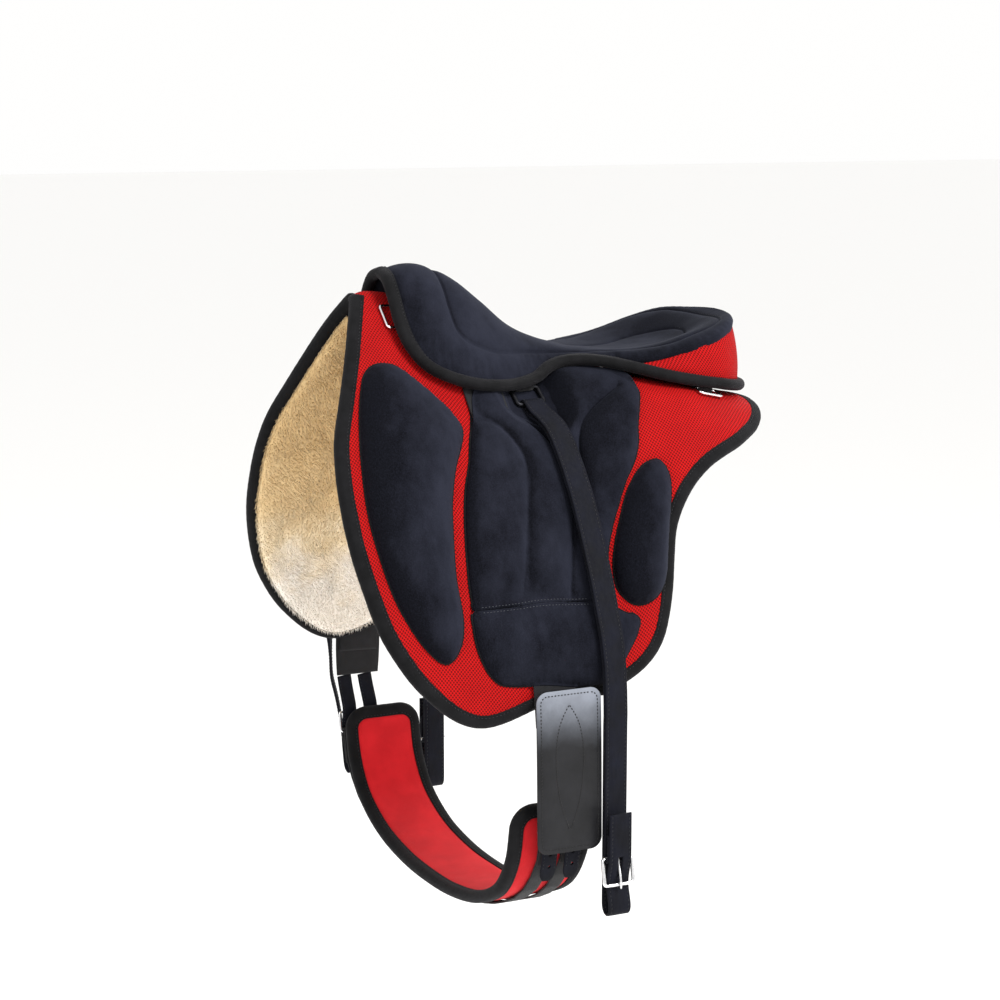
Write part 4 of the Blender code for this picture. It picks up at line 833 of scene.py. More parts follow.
def panel_lift(seed):
    def lift(q, faces, n, on_seam):
        d, along = distance(q, EDGE_LOOP)
        d = np.maximum(d - 5.4, 0)
        p3 = np.column_stack([q, np.zeros(len(q))])
        off = -5.2 * np.exp(-d / 3.6) + 1.1 * (1 - np.exp(-d / 16.0))
        off += 0.45 * noise(p3, 42, seed) + 0.16 * noise(p3, 15, seed + 1)
        off += 0.30 * np.sin(along * 2 * math.pi / 10.5 + 2.0 * noise(p3, 30, seed + 2)) * np.exp(-d / 6.0)
        for loop in (KNEE_LOOP, THIGH_LOOP, PATCH_LOOP, BAND_LOOP):
            off -= 1.5 * np.exp(-distance(q, loop, True)[0] / 3.0)
        off = under_bar(q, off, -4.0)
        web = np.abs(q[:, 0] - (-59.0 + 0.045 * q[:, 1])) < 32
        off = np.where(web & (q[:, 1] > 20), np.minimum(off, 1.4), off)
        off[:n] = -PANEL_T * 0.5
        return off
    return lift


for word, side in SIDES:
    pad_on_sheet(word + "_panel_cover", side, PANEL_LOOP, RED, panel_lift(11 if side > 0 else 23), -PANEL_T, 3.4,
                 [word + "_panel"], rings=(0.9, 2.2, 4.2), edge_step=3.0)


# ---------------------------------------------------------------- blocks, patches and bands
def pillow_lift(base, height, power, seed, full_at=None, dimple=0.35):
    """A stuffed block: a skin blown up over its outline, brushed and slightly uneven."""
    def lift(q, faces, n, on_seam):
        fixed = np.zeros(len(q), bool)
        fixed[:n] = True
        h = membrane(q, faces, fixed) ** power
        d = distance(q, q[:n], True)[0]
        p3 = np.column_stack([q, np.zeros(len(q))])
        soft = np.clip(d / 9.0, 0, 1)
        off = base + height * h + soft * (0.7 * noise(p3, 38, seed) + dimple * noise(p3, 14, seed + 1))
        _, along = distance(q, q[:n], True)
        off += 0.28 * np.sin(along * 2 * math.pi / 8.5 + 2.5 * noise(p3, 26, seed + 3)) * np.exp(-d / 4.5) * np.clip(d / 1.5, 0, 1)
        return off
    return lift


for word, side in SIDES:
    k = 31 if side > 0 else 57
    pad_on_sheet(word + "_knee_pad", side, KNEE_LOOP, SUEDE, pillow_lift(0.2, 27.5, 0.46, k), 0.0, 3.0, [word + "_knee_block"],
                 edge_step=2.4)
    pad_on_sheet(word + "_thigh_pad", side, THIGH_LOOP, SUEDE, pillow_lift(0.2, 23.5, 0.46, k + 9), 0.0, 2.6, [word + "_thigh_block"],
                 edge_step=2.2)

# Sewn channels of the patch, (y, s): two upright tongues, the seam behind the leather, and the row above the band.
def nearest_on_sheet(p):
    """Sheet coordinates (y, s) beneath a point, and how far off the sheet it is."""
    row = sheet(np.full(len(S_GRID), float(p[1])), S_GRID)[:, [0, 2]]
    q = np.array([abs(p[0]), p[2]])
    gap, where = distance(q[None], row)
    return p[1], float(np.interp(where[0], length_along(row), S_GRID)), float(gap[0])


UNDER_SEAT = np.array([nearest_on_sheet(p - np.array([0, 0, DATUM])) for p in catmull(SEAT_EDGE, 4) if -125 < p[1] < 240])
UNDER_SEAT = UNDER_SEAT[np.argsort(UNDER_SEAT[:, 0])]
CHANNELS = [
    [(-92, 150), (-74, 143), (-58, 142), (-46, 147), (-38, 156), (-32, 170), (-32, 190), (-38, 218), (-45, 250), (-52, 284), (-60, 322), (-66, 347)],
    [(-14, 120), (-2, 128), (8, 146), (11, 172), (10, 206), (3, 240), (-4, 274), (-10, 304), (-17, 346)],
    [(92, 96), (76, 104), (60, 112), (48, 121), (40, 132), (34, 148), (30, 170), (24, 200), (18, 236), (14, 268), (14, 300)],
]


CHANNEL_LINES = [catmull(c, 6) for c in CHANNELS]


def patch_lift(seed):
    def lift(q, faces, n, on_seam):
        edge = np.zeros(len(q), bool)
        edge[:n] = True
        whole = membrane(q, faces, edge) ** 0.42
        held = edge | on_seam
        quilt = membrane(q, faces, held) ** 0.36
        p3 = np.column_stack([q, np.zeros(len(q))])
        d = distance(q, q[:n], True)[0]
        off = 0.8 + 2.6 * whole + 8.0 * np.clip(quilt * 1.15, 0, 1) + np.clip(d / 8, 0, 1) * (0.35 * noise(p3, 24, seed) + 0.2 * noise(p3, 9, seed + 1))
        seam_at = np.min([distance(q, line)[0] for line in CHANNEL_LINES], axis=0)
        off -= np.clip(d / 6, 0, 1) * (1.5 * np.exp(-seam_at / 1.4) + 0.9 * np.exp(-seam_at / 6.0))
        off = np.maximum(off, np.minimum(2.3, 0.8 + 0.8 * d))
        # Up to the underside of the seat's edge, with room for the leather where it comes off its bar.
        edge_s, edge_off = np.interp(q[:, 0], UNDER_SEAT[:, 0], UNDER_SEAT[:, 1]), np.interp(q[:, 0], UNDER_SEAT[:, 0], UNDER_SEAT[:, 2])
        off = np.maximum(off, (edge_off - SEAT_EDGE_R - 0.8) * np.exp(-((q[:, 1] - edge_s) / 15.0) ** 2))
        off = over_web(q, off)
        off = off - 4.4 * np.exp(-(((q[:, 0] - 6) / 26.0) ** 2 + ((q[:, 1] - 98) / 24.0) ** 2))
        return under_bar(q, off, -3.1)
    return lift


COVERS = {}
for word, side in SIDES:
    k = 71 if side > 0 else 87
    COVERS[word] = [pad_on_sheet(word + "_patch_cover", side, PATCH_LOOP, SUEDE, patch_lift(k), 0.0, 2.5, [word + "_quilted_patch"], edge_step=2.2,
                                 seams=CHANNEL_LINES)]
    plump = pillow_lift(0.8, 10.5, 0.42, k + 5, dimple=0.25)
    COVERS[word].append(pad_on_sheet(word + "_band_cover", side, BAND_LOOP, SUEDE, lambda q, f, n, on: over_web(q, plump(q, f, n, on)), 0.0, 2.5,
                                     [word + "_patch_band"], edge_step=2.2))
    COVERS[word] = [BVHTree.FromPolygons([v.co for v in obj.data.vertices], [tuple(f.vertices) for f in obj.data.polygons]) for obj in COVERS[word]]


def laid_on(trees, side, q):
    """Points of the outermost of the surfaces over each sheet point, with the sheet's normals."""
    high, n = at_side(side, on_sheet(q[:, 0], q[:, 1], np.full(len(q), 30.0))), at_side(side, sheet_normal(q[:, 0], q[:, 1]))
    points = []
    for p, d in zip(high, n):
        hits = [hit for tree in trees if (hit := tree.ray_cast(Vector(p * 0.001), Vector(-d), 0.04)[0]) is not None]
        points.append(max((np.array(hit) * 1000 for hit in hits), key=lambda h: h @ d, default=p - d * 28.0))
    return np.array(points), n


# Stitching along the seam between patch and band, and a thin rolled welt round each pad where it meets the mesh.
SEAM_LINE = at_pitch(catmull(SEAM, 8), 2.0)
WELTS = [(KNEE_LOOP, True), (THIGH_LOOP, True)]
for loop in (PATCH_LOOP, BAND_LOOP):
    open_part = (loop[:, 1] > np.interp(loop[:, 0], UNDER_SEAT[:, 0], UNDER_SEAT[:, 1]) + 6) & (distance(loop, SEAM_LINE)[0] > 3.0)
    start = int(np.argmin(open_part))
    run, rest = [], np.roll(loop, -start, 0)
    for k, keep in enumerate(np.roll(open_part, -start)):
        if keep:
            run.append(rest[k])
        if (not keep or k == len(rest) - 1) and len(run) > 8:
            WELTS.append((np.array(run), False))
        if not keep:
            run = []

for word, side in SIDES:
    parts = []
    for loop, closed in WELTS:
        line = on_sheet(loop[:, 0], loop[:, 1], np.full(len(loop), 0.7))
        parts.append(wire_mesh(line, 1.15, closed, 8))
    verts, faces, uv = join(*parts)
    if side < 0:
        verts, faces = at_side(side, verts), [tuple(f)[::-1] for f in faces]
    make(word + "_pad_welts", verts, faces, BINDING, uv=uv)
    rows = []
    for gap in (-2.6, 2.6):
        row = inset_loop(SEAM_LINE, gap)[4:-4]
        rows.append(laid_on(COVERS[word], side, row))
    stitches(rows, THREAD_GREY, word + "_seam_stitching", pitch=3.6, long=2.2, thick=0.34)

# ---------------------------------------------------------------- wool lining
def tufts(roots, away, lengths, lean, width, seed):
    """Pile: fine three-sided spikes standing on the roots and leaning over."""
    rng = np.random.default_rng(seed)
    n = len(roots)
    away = unit(away)
    a = unit(np.cross(away, np.tile((0.31, 0.52, 0.79), (n, 1))))
    b = np.cross(away, a)
    turn = rng.uniform(0, 2 * math.pi, n)[:, None]
    a, b = a * np.cos(turn) + b * np.sin(turn), b * np.cos(turn) - a * np.sin(turn)
    base = roots - away * 1.2
    tip = roots + away * (lengths * 0.62)[:, None] + lean * (lengths * 0.62)[:, None] + a * (lengths * rng.normal(0, 0.16, n))[:, None]
    rings = [base + (a * math.cos(2 * math.pi * k / 3) + b * math.sin(2 * math.pi * k / 3)) * width[:, None] for k in range(3)]
    verts = np.stack([*rings, tip], 1).reshape(-1, 3)
    one = [(0, 2, 1), (0, 1, 3), (1, 2, 3), (2, 0, 3)]
    faces = [tuple(i + 4 * k for i in f) for k in range(n) for f in one]
    uv = np.tile(np.array([(k % 3, k / 3) for k in range(4)], float), (n, 1))
    return verts, outward(faces, verts), uv


def fleece(word, side):
    seed = 5 if side > 0 else 9
    rim = inset_loop(even(EDGE_LOOP, 400), 9.0)
    outline = rim[rim[:, 1] > 26.0]
    depth = -PANEL_T - 1.2

    def lay(q, *_):
        d = distance(q, outline, True)[0]
        p3 = np.column_stack([q, np.zeros(len(q))])
        roll = np.sqrt(np.clip(1 - (1 - np.clip(d / 9.0, 0, 1)) ** 2, 0, 1))
        off = depth - 0.3 - roll * (5.2 + 1.1 * noise(p3, 34, seed) + 0.7 * noise(p3, 12, seed + 1) + 0.5 * noise(p3, 5, seed + 2))
        return on_sheet(q[:, 0], q[:, 1], off)

    base = shell(outline, 4.2, lay, lambda q: on_sheet(q[:, 0], q[:, 1], np.full(len(q), depth)), edge_step=4.0)
    rng = np.random.default_rng(seed)
    spots = lattice(outline, 2.25, 0.0)
    spots = spots + rng.uniform(-1.1, 1.1, spots.shape)
    edge = at_pitch(outline, 1.3, closed=True)
    edge = edge + rng.uniform(-0.8, 0.8, edge.shape)
    spots = np.vstack([spots[inside(spots, outline)], edge])
    d, _ = distance(spots, outline, True)
    p3 = np.column_stack([spots, np.zeros(len(spots))])
    away = -sheet_normal(spots[:, 0], spots[:, 1])
    ahead = unit(on_sheet(spots[:, 0] + 2, spots[:, 1]) - on_sheet(spots[:, 0] - 2, spots[:, 1]))
    down = unit(on_sheet(spots[:, 0], spots[:, 1] + 2) - on_sheet(spots[:, 0], spots[:, 1] - 2))
    # Pile lies in broad swirls, droops, and leans out over the edge.
    swirl = 2.6 * noise(p3, 55, seed + 4) + 1.3 * noise(p3, 17, seed + 5)
    lean = ahead * (0.75 * np.sin(swirl))[:, None] + down * (0.45 + 0.55 * np.cos(swirl))[:, None]
    middle = np.array([outline[:, 0].mean(), outline[:, 1].mean()])
    out = unit(spots - middle)
    near_edge = np.exp(-d / 4.0)[:, None]
    lean = lean * (1 - 0.8 * near_edge) + (ahead * out[:, :1] + down * out[:, 1:]) * near_edge * 1.1
    lean = lean + rng.normal(0, 0.22, lean.shape)
    roots = lay(spots)
    lengths = (6.4 + 1.5 * noise(p3, 20, seed + 6) + rng.normal(0, 0.8, len(spots))) * (1 - 0.25 * near_edge[:, 0])
    width = rng.uniform(0.55, 0.85, len(spots))
    verts, faces, uv = join(base, tufts(roots, away, np.clip(lengths, 3, 9), lean, width, seed + 7))
    if side < 0:
        verts, faces = at_side(side, verts), [tuple(f)[::-1] for f in faces]
    obj = make(word + "_fleece_pile", verts, faces, PILE, replaces=[word + "_fleece"], uv=uv)


for word, side in SIDES:
    fleece(word, side)


# ---------------------------------------------------------------- bindings
def tape_profile(r, high=1.0, lower_lip=True):
    """A bias binding: round outside, then the stitched groove and the lip that lies on the cloth, above and below."""
    outer = [(r * math.cos(math.radians(t)), r * math.sin(math.radians(t))) for t in range(0, 91, 15)]
    top = outer + [(-0.30 * r, 1.03 * r), (-0.52 * r, 1.00 * r), (-0.63 * r, 0.94 * r), (-0.72 * r, 0.99 * r), (-0.86 * r, 1.01 * r),
                   (-0.97 * r, 0.97 * r), (-1.02 * r, 0.88 * r), (-0.98 * r, 0.72 * r)]
    top = [(a, b * high if a < 0 else b) for a, b in top]
    under = top if lower_lip else [(r * math.cos(t), r * math.sin(t)) for t in np.linspace(0, 2.85, len(top))]
    return np.array(top + [(-0.96 * r, 0.0)] + [(a, -b) for a, b in under[:0:-1]])


def taped(line, u, v, r, seed, closed=False, wrinkle=0.022, lower_lip=True):
    """Padded tape along a line: its radius swells and puckers a little between stitches."""
    n = len(line)
    along = length_along(line)
    p3 = np.column_stack([along, np.zeros(n), np.zeros(n)])
    total = along[-1] if closed else 1e9
    waves = max(1, round(total / 9.0)) if closed else None
    ripple = np.sin(along * 2 * math.pi * (waves / total if closed else 1 / 9.0) + 2.2 * noise(p3, 40, seed + 1) * (0 if closed else 1))
    scale = 1 + wrinkle * (0.7 * noise(p3, 22, seed) + 0.45 * noise(p3, 6, seed + 2)) + 0.008 * ripple
    if closed:
        fade = np.clip(np.minimum(along, total - along) / 12.0, 0, 1)
        scale = 1 + (scale - 1) * fade
    profile = tape_profile(r, lower_lip=lower_lip)
    return sweep(line, u, v, profile[None] * scale[:, None, None], closed=closed)


def edge_frame(gap, off, pitch=2.6):
    """Stations along the panel's edge: points, the way out over the edge, the sheet's normal."""
    loop = inset_loop(even(EDGE_LOOP, 500), gap)
    q = at_pitch(loop, pitch)
    q = q[q[:, 1] > 8.0]
    t = unit(np.gradient(q, axis=0))
    push = np.stack([-t[:, 1], t[:, 0]], 1)
    n = sheet_normal(q[:, 0], q[:, 1])
    line = on_sheet(q[:, 0], q[:, 1], np.full(len(q), off))
    u = unit(on_sheet(q[:, 0] + push[:, 0], q[:, 1] + push[:, 1], np.full(len(q), off)) - line)
    first, last = line[0].copy(), line[-1].copy()
    first[0] = last[0] = 0.4
    return np.vstack([first, line, last]), np.vstack([u[:1], u, u[-1:]]), np.vstack([n[:1], n, n[-1:]])


for word, side in SIDES:
    line, u, v = edge_frame(EDGE_R, -PANEL_T * 0.5)
    v = unit(v - u * (u * v).sum(1)[:, None])
    verts, faces, uv = taped(line, u, v, EDGE_R, 3 if side > 0 else 8)
    if side < 0:
        verts, faces = at_side(side, verts), [tuple(f)[::-1] for f in faces]
    obj = make(word + "_edge_tape", verts, faces, BINDING, replaces=[word + "_panel_binding"], uv=uv)
    seam = line - u * (0.63 * EDGE_R) + v * (0.955 * EDGE_R)
    under = line - u * (0.63 * EDGE_R) - v * (0.955 * EDGE_R)
    keep = slice(4, -4)
    stitches([(at_side(side, seam[keep]), at_side(side, v[keep])), (at_side(side, under[keep]), at_side(side, -v[keep]))],
             THREAD, word + "_edge_stitching", pitch=4.0, long=2.7)


# ---------------------------------------------------------------- seat
SEAT_HALF = catmull(SEAT_EDGE, 10)
SEAT_RING = np.vstack([SEAT_HALF, (SEAT_HALF[::-1] * np.array([-1, 1, 1]))[1:-1]]) - np.array([0, 0, DATUM])
SEAT_RING = even(SEAT_RING, 560, closed=True)

front_edge = catmull(SEAT_EDGE[:16], 10)
flat_in = inset_loop(front_edge[:, :2], -2.6)
flat_in[0, 0] = 0.0
front_top = np.column_stack([flat_in, front_edge[:, 2] + 1.4])
rim_top = catmull(RIM, 10)[6:] + np.array([0, 0, -2.6])
rim_out = inset_loop(rim_top[:, :2], -(-0.9))
rim_out[-1, 0] = 0.0
rim_top = np.column_stack([rim_out, rim_top[:, 2]])
TOP_HALF = np.vstack([front_top[:-3], rim_top])
TOP_HALF = even(TOP_HALF, 260)
TOP_HALF[0, 0] = TOP_HALF[-1, 0] = 0.0
TOP_RING = np.vstack([TOP_HALF, (TOP_HALF[::-1] * np.array([-1, 1, 1]))[1:-1]]) - np.array([0, 0, DATUM])


def seat_grid():
    ys = np.array([r[0] for r in SEAT_TOP], float)
    rows = []
    for _, v in SEAT_TOP:
        ext = [v[1], *v]
        rows.append(catmull([(20 * (k - 1), z) for k, z in enumerate(ext)], 10)[10:, 1])
    rows = np.array(rows)
    out_y = np.arange(-140, 274, 3.0)
    out = np.empty((len(out_y), rows.shape[1]))
    slope = np.gradient(rows, ys, axis=0)
    i = np.clip(np.searchsorted(ys, out_y) - 1, 0, len(ys) - 2)
    h = (ys[i + 1] - ys[i])[:, None]
    t = np.clip((out_y - ys[i]) / h[:, 0], -0.3, 1.2)[:, None]
    out = ((2 * t ** 3 - 3 * t ** 2 + 1) * rows[i] + (t ** 3 - 2 * t ** 2 + t) * h * slope[i]
           + (3 * t ** 2 - 2 * t ** 3) * rows[i + 1] + (t ** 3 - t ** 2) * h * slope[i + 1])
    return out_y, np.linspace(0, 100, rows.shape[1]), out - DATUM


SEAT_Y, SEAT_X, SEAT_Z = seat_grid()


def seat_table(x, y):
    fx = np.clip(np.abs(x) / (SEAT_X[1] - SEAT_X[0]), 0, len(SEAT_X) - 1.001)
    fy = np.clip((y - SEAT_Y[0]) / 3.0, 0, len(SEAT_Y) - 1.001)
    i, j = fy.astype(int), fx.astype(int)
    a, b = fy - i, fx - j
    return ((SEAT_Z[i, j] * (1 - b) + SEAT_Z[i, j + 1] * b) * (1 - a) + (SEAT_Z[i + 1, j] * (1 - b) + SEAT_Z[i + 1, j + 1] * b) * a)


def seat_base(q):
    """Seat cover before its seams: the table, rolled down to the outline's height at the edge."""
    loop = np.vstack([TOP_RING, TOP_RING[:1]])
    along = length_along(loop[:, :2])
    d, where = distance(q, TOP_RING[:, :2], True)
    edge = np.interp(where, along, loop[:, 2])
    z = seat_table(q[:, 0], q[:, 1])
    r = np.where(q[:, 1] > 100, 9.0, 13.0)
    f = np.clip(d / r, 0, 1)
    return edge + (z - edge) * np.sqrt(1 - (1 - f) ** 2), d


def mirror_loop(half):
    """A closed loop from its near half, both ends on the middle line."""
    line = catmull(half, 8)
    return np.vstack([line, (line[::-1] * np.array([-1, 1]))[1:-1]])


OUTER_SEAM = mirror_loop([(0, -80), (20, -80), (39, -80), (52, -79), (60, -75), (63, -64), (63, -50), (61, -32), (56, -10), (49, 12), (45, 35),
                          (47, 60), (53, 80), (62, 105), (72, 130), (79, 148), (83, 170), (82, 196), (76, 215), (62, 231), (40, 241),
                          (18, 245), (0, 246)])
INNER_SEAM = mirror_loop([(0, 74), (5, 76), (11, 86), (18, 106), (25, 132), (34, 156), (38, 178), (34, 197), (24, 209), (10, 216), (0, 217)])


def lift_seat(q, faces, n, on_seam):
    z, d = seat_base(q)
    p = np.column_stack([q, z])
    f = np.asarray(faces)
    cross = np.cross(p[f[:, 1]] - p[f[:, 0]], p[f[:, 2]] - p[f[:, 0]])
    normal = np.zeros_like(p)
    for k in range(3):
        for c in range(3):
            normal[:, c] += np.bincount(f[:, k], cross[:, c], len(p))
    normal = unit(normal * np.sign(normal[:, 2:] + 1e-9))
    edge = np.zeros(len(q), bool)
    edge[:n] = True
    quilt = np.clip(membrane(p, faces, edge | on_seam) * 1.6, 0, 1) ** 0.5
    ds = np.minimum(distance(q, OUTER_SEAM, True)[0], distance(q, INNER_SEAM, True)[0])
    off = 2.0 * quilt - 1.7 * np.exp(-ds / 1.5) - 0.8 * np.exp(-ds / 6.0) - 0.9
    off += np.clip(d / 12, 0, 1) * (0.7 * noise(p, 45, 91) + 0.35 * noise(p, 17, 92))
    _, along = distance(q, TOP_RING[:, :2], True)
    off += 0.3 * np.sin(along * 2 * math.pi / 9 + 2.4 * noise(p, 30, 93)) * np.exp(-d / 6.0) * np.clip(d / 2, 0, 1)
    off *= np.clip(d / 3.0, 0, 1)
    return p + normal * off[:, None]


def seat_under(q):
    """Underside of the seat: close to the panels ahead of the rigging, clear of it further back."""
    return np.column_stack([q, sheet_z(q[:, 0], q[:, 1]) + np.interp(q[:, 1], (-125, -100), (2.2, 9.5))])


verts, faces, uv = shell(TOP_RING[:, :2], 3.2, lift_seat, seat_under,
                         rings=(0.7, 1.8, 3.6, 6.0), edge_step=2.6, coarse=15.0, seams=[np.vstack([s, s[:1]]) for s in (OUTER_SEAM, INNER_SEAM)])
seat_cover = make("seat_cover", verts, faces, SUEDE, replaces=["seat_cushion"], uv=uv)


def over_seat(loop, out):
    """The loop laid on the seat cover, out millimetres off it, with the cover's normals."""
    z, _ = seat_base(loop)
    p = np.column_stack([loop, z])
    a, b = seat_base(loop + np.array([1.5, 0]))[0] - z, seat_base(loop + np.array([0, 1.5]))[0] - z
    n = unit(np.column_stack([-a / 1.5, -b / 1.5, np.ones(len(loop))]))
    return p + n * out, n


seat_rows = []
for seam in (OUTER_SEAM, INNER_SEAM):
    for gap in (-2.3, 2.3):
        row = at_pitch(inset_loop(seam, gap, closed=True), 2.0, closed=True)
        seat_rows.append(over_seat(row, -2.2))
stitches(seat_rows, THREAD, "seat_stitching", pitch=3.8, long=2.5, thick=0.36)

# Seat edge tape.
ring_t = unit(np.roll(SEAT_RING, -1, 0) - np.roll(SEAT_RING, 1, 0))
ring_out = np.stack([ring_t[:, 1], -ring_t[:, 0], np.zeros(len(ring_t))], 1)
ring_out = unit(ring_out * np.sign((ring_out * (SEAT_RING - np.array([0, 60.0, 0]))).sum(1))[:, None])
ring_up = np.cross(ring_out, ring_t)
ring_up *= np.sign(ring_up[:, 2:])
verts, faces, uv = taped(SEAT_RING, ring_out, ring_up, SEAT_EDGE_R * 0.975, 14, closed=True, lower_lip=False)
seat_tape = make("seat_edge_tape", verts, faces, BINDING, replaces=["seat_binding"], uv=uv)
stitches([(SEAT_RING - ring_out * (0.63 * SEAT_EDGE_R) + ring_up * (0.955 * SEAT_EDGE_R), ring_up)], THREAD, "seat_tape_stitching",
         pitch=3.8, long=2.5, thick=0.38)


# Cantle wall, from the tape up to the rim.
def gusset():
    rim = TOP_RING[TOP_RING[:, 1] > 113.0]
    start = int(np.argmin(rim[:, 1] + (rim[:, 0] < 0) * 1000))
    rim = np.roll(rim, -start, 0)
    rim = rim[np.argsort(np.arctan2(rim[:, 0], rim[:, 1] - 105.0))][::-1]
    rim = even(rim, 200)
    near_by = np.array([np.argmin(np.hypot(SEAT_RING[:, 0] - p[0] / 0.935, SEAT_RING[:, 1] - (p[1] / 0.967))) for p in rim])
    foot = SEAT_RING[near_by]
    for _ in range(6):
        foot[1:-1] = (foot[:-2] + foot[1:-1] * 2 + foot[2:]) / 4
    out = ring_out[near_by]
    for _ in range(6):
        out[1:-1] = unit(out[:-2] + out[1:-1] * 2 + out[2:])
    foot = foot - out * 1.6 + np.array([0, 0, SEAT_EDGE_R * 0.75])
    top = rim - out * 1.2 + np.array([0, 0, -2.9])
    top[:, 2] = np.maximum(top[:, 2], foot[:, 2] + 0.6)
    along = length_along(foot)
    p3 = np.column_stack([along, np.zeros(200), np.zeros(200)])
    rows, uv = [], []
    steps = np.linspace(0, 1, 15)
    tall = np.linalg.norm(top - foot, axis=1)
    for w in steps:
        bulge = np.minimum(2.6, tall * 0.10) * math.sin(math.pi * w) + 0.35 * noise(p3 + np.array([0, 30 * w, 0]), 16, 44)
        rows.append(foot + (top - foot) * w + out * (bulge * min(1.0, 6 * w, 6 * (1 - w)))[:, None])
        uv.append(np.column_stack([along, tall * w]))
    inner = [foot + (top - foot) * w - out * 2.2 for w in (1.0, 0.0)]
    verts = np.vstack(rows + inner)
    n = len(rows) + 2
    faces = [(i * 200 + j, i * 200 + j + 1, ((i + 1) % n) * 200 + j + 1, ((i + 1) % n) * 200 + j) for i in range(n) for j in range(199)]
    faces += [tuple(i * 200 for i in range(n))[::-1], tuple(i * 200 + 199 for i in range(n))]
    return verts, outward(faces, verts), np.vstack(uv + [np.column_stack([along, tall]), np.column_stack([along, tall * 0])])


verts, faces, uv = gusset()
cantle = make("cantle_wall", verts, faces, RED, replaces=["cantle_gusset"], uv=uv)

# Strip over the spine, puffed up in front of the pommel.
STRIP_LOOP = even([(-136, -6), (-136, 6), (-128, 14), (-118, 23), (0, 23), (240, 23), (248.5, 21), (248.5, -21), (240, -23), (0, -23), (-118, -23),
                   (-128, -14)], 260, closed=True)


def strip_lift(q, faces, n, on_seam):
    edge = np.zeros(len(q), bool)
    edge[:n] = True
    h = np.clip(membrane(q, faces, edge) * 1.3, 0, 1) ** 0.5
    p3 = np.column_stack([q, np.zeros(len(q))])
    return -1.2 + h * 2.4 + 0.15 * noise(p3, 14, 71)


pad_on_sheet("spine_strip", 1, STRIP_LOOP, SUEDE, strip_lift, -4.0, 3.6, ["gullet_strip"], coarse=12.0)


# ---------------------------------------------------------------- straps and webs
def smooth_line(line, across, steps=5):
    fine = catmull(line, steps)
    across = np.asarray(across, float)
    if across.ndim == 1:
        across = np.tile(across, (len(line), 1))
    return fine, unit(catmull(across, steps))


def cut(obj, *cutters):
    """Cuts the closed shapes, (verts, faces), out of the object."""
    tools = []
    for k, (verts, faces) in enumerate(cutters):
        mesh = bpy.data.meshes.new("cutter")
        mesh.from_pydata((np.asarray(verts) * 0.001).tolist(), [], [list(map(int, f)) for f in outward(faces, verts)])
        tool = bpy.data.objects.new("cutter", mesh)
        bpy.context.scene.collection.objects.link(tool)
        mod = obj.modifiers.new("cut", "BOOLEAN")
        mod.operation, mod.object, mod.solver = "DIFFERENCE", tool, "EXACT"
        tools.append(tool)
    bpy.context.view_layer.update()
    mesh = bpy.data.meshes.new_from_object(obj.evaluated_get(bpy.context.evaluated_depsgraph_get()))
    obj.modifiers.clear()
    old, obj.data = obj.data, mesh
    bpy.data.meshes.remove(old)
    for tool in tools:
        mesh = tool.data
        bpy.data.objects.remove(tool)
        bpy.data.meshes.remove(mesh)


def block(centre, size, turn=None):
    axes = np.eye(3) if turn is None else np.asarray(turn, float)
    verts = [np.asarray(centre) + sum(axes[k] * size[k] * (0.5 if bit[k] else -0.5) for k in range(3))
             for bit in ((i & 1, i >> 1 & 1, i >> 2 & 1) for i in range(8))]
    return np.array(verts), [(0, 2, 3, 1), (4, 5, 7, 6), (0, 1, 5, 4), (2, 6, 7, 3), (0, 4, 6, 2), (1, 3, 7, 5)]


def drill(centre, axis, radius, long, sides=14, squash=1.0, up=(0, 0, 1)):
    axis = unit(axis)
    u = unit(np.cross(axis, up))
    v = np.cross(axis, u)
    ring = oval(radius, radius * squash, sides)
    verts = np.vstack([np.asarray(centre) + axis * (long * s) + u * ring[:, :1] + v * ring[:, 1:] for s in (-0.5, 0.5)])
    faces = [(i, (i + 1) % sides, sides + (i + 1) % sides, sides + i) for i in range(sides)]
    return verts, faces + [tuple(range(sides))[::-1], tuple(range(sides, 2 * sides))]


OUT, UP, BACK = np.eye(3)[0], np.eye(3)[2], np.eye(3)[1]
LEATHER_W, LEATHER_T, BAR_R = 25.0, 3.0, 2.25
BAR_Y, BAR_S, BAR_OFF, BAR_DROP, BAR_HALF = 0.5, 90.0, 3.0, 22.0, 17.0
WEB_BEND = BAR_R + 0.35 + 0.8


def level_and_fall(y, s):
    n = sheet_normal(y, s)
    level = unit(np.cross((0.0, 0.0, 1.0), n))
    level = level if level[1] > 0 else -level
    fall = np.cross(n, level)
    return level, (fall if fall[2] < 0 else -fall), n


LEVEL, FALL, BAR_N = level_and_fall(BAR_Y, BAR_S)
BAR = on_sheet(BAR_Y, BAR_S, BAR_OFF)
HEAD = BAR - FALL * BAR_DROP
FOLD_R = BAR_R + 0.35 + LEATHER_T / 2
LEATHER_Y = [(90, 0.5), (100, 3.3), (110, 6), (125, 9.5), (140, 12), (200, 15.5), (300, 19), (345, 20), (600, 20)]
OUTER_OFF = [(98, 7.7), (104, 9.6), (112, 13.2), (125, 17.6), (150, 18.2), (325, 18.2), (348, 19.2), (430, 19.2)]
INNER_OFF = [(98, -0.6), (104, 2.8), (112, 8.6), (125, 13.8), (150, 14.4), (325, 14.4), (348, 15.4), (430, 15.4)]
RUN_S = (98, 104, 112, 119, 125, 138, 152, 175, 200, 230, 260, 290, 325, 336, 348, 370, 395, 420)
OUTER_X, INNER_X = 232.6, 228.8
PIVOT_AT, FAR_BAR_AT = fit(OUTER_X + 3.9, 20, -330), fit(OUTER_X + 10.0, 20, -356.5)


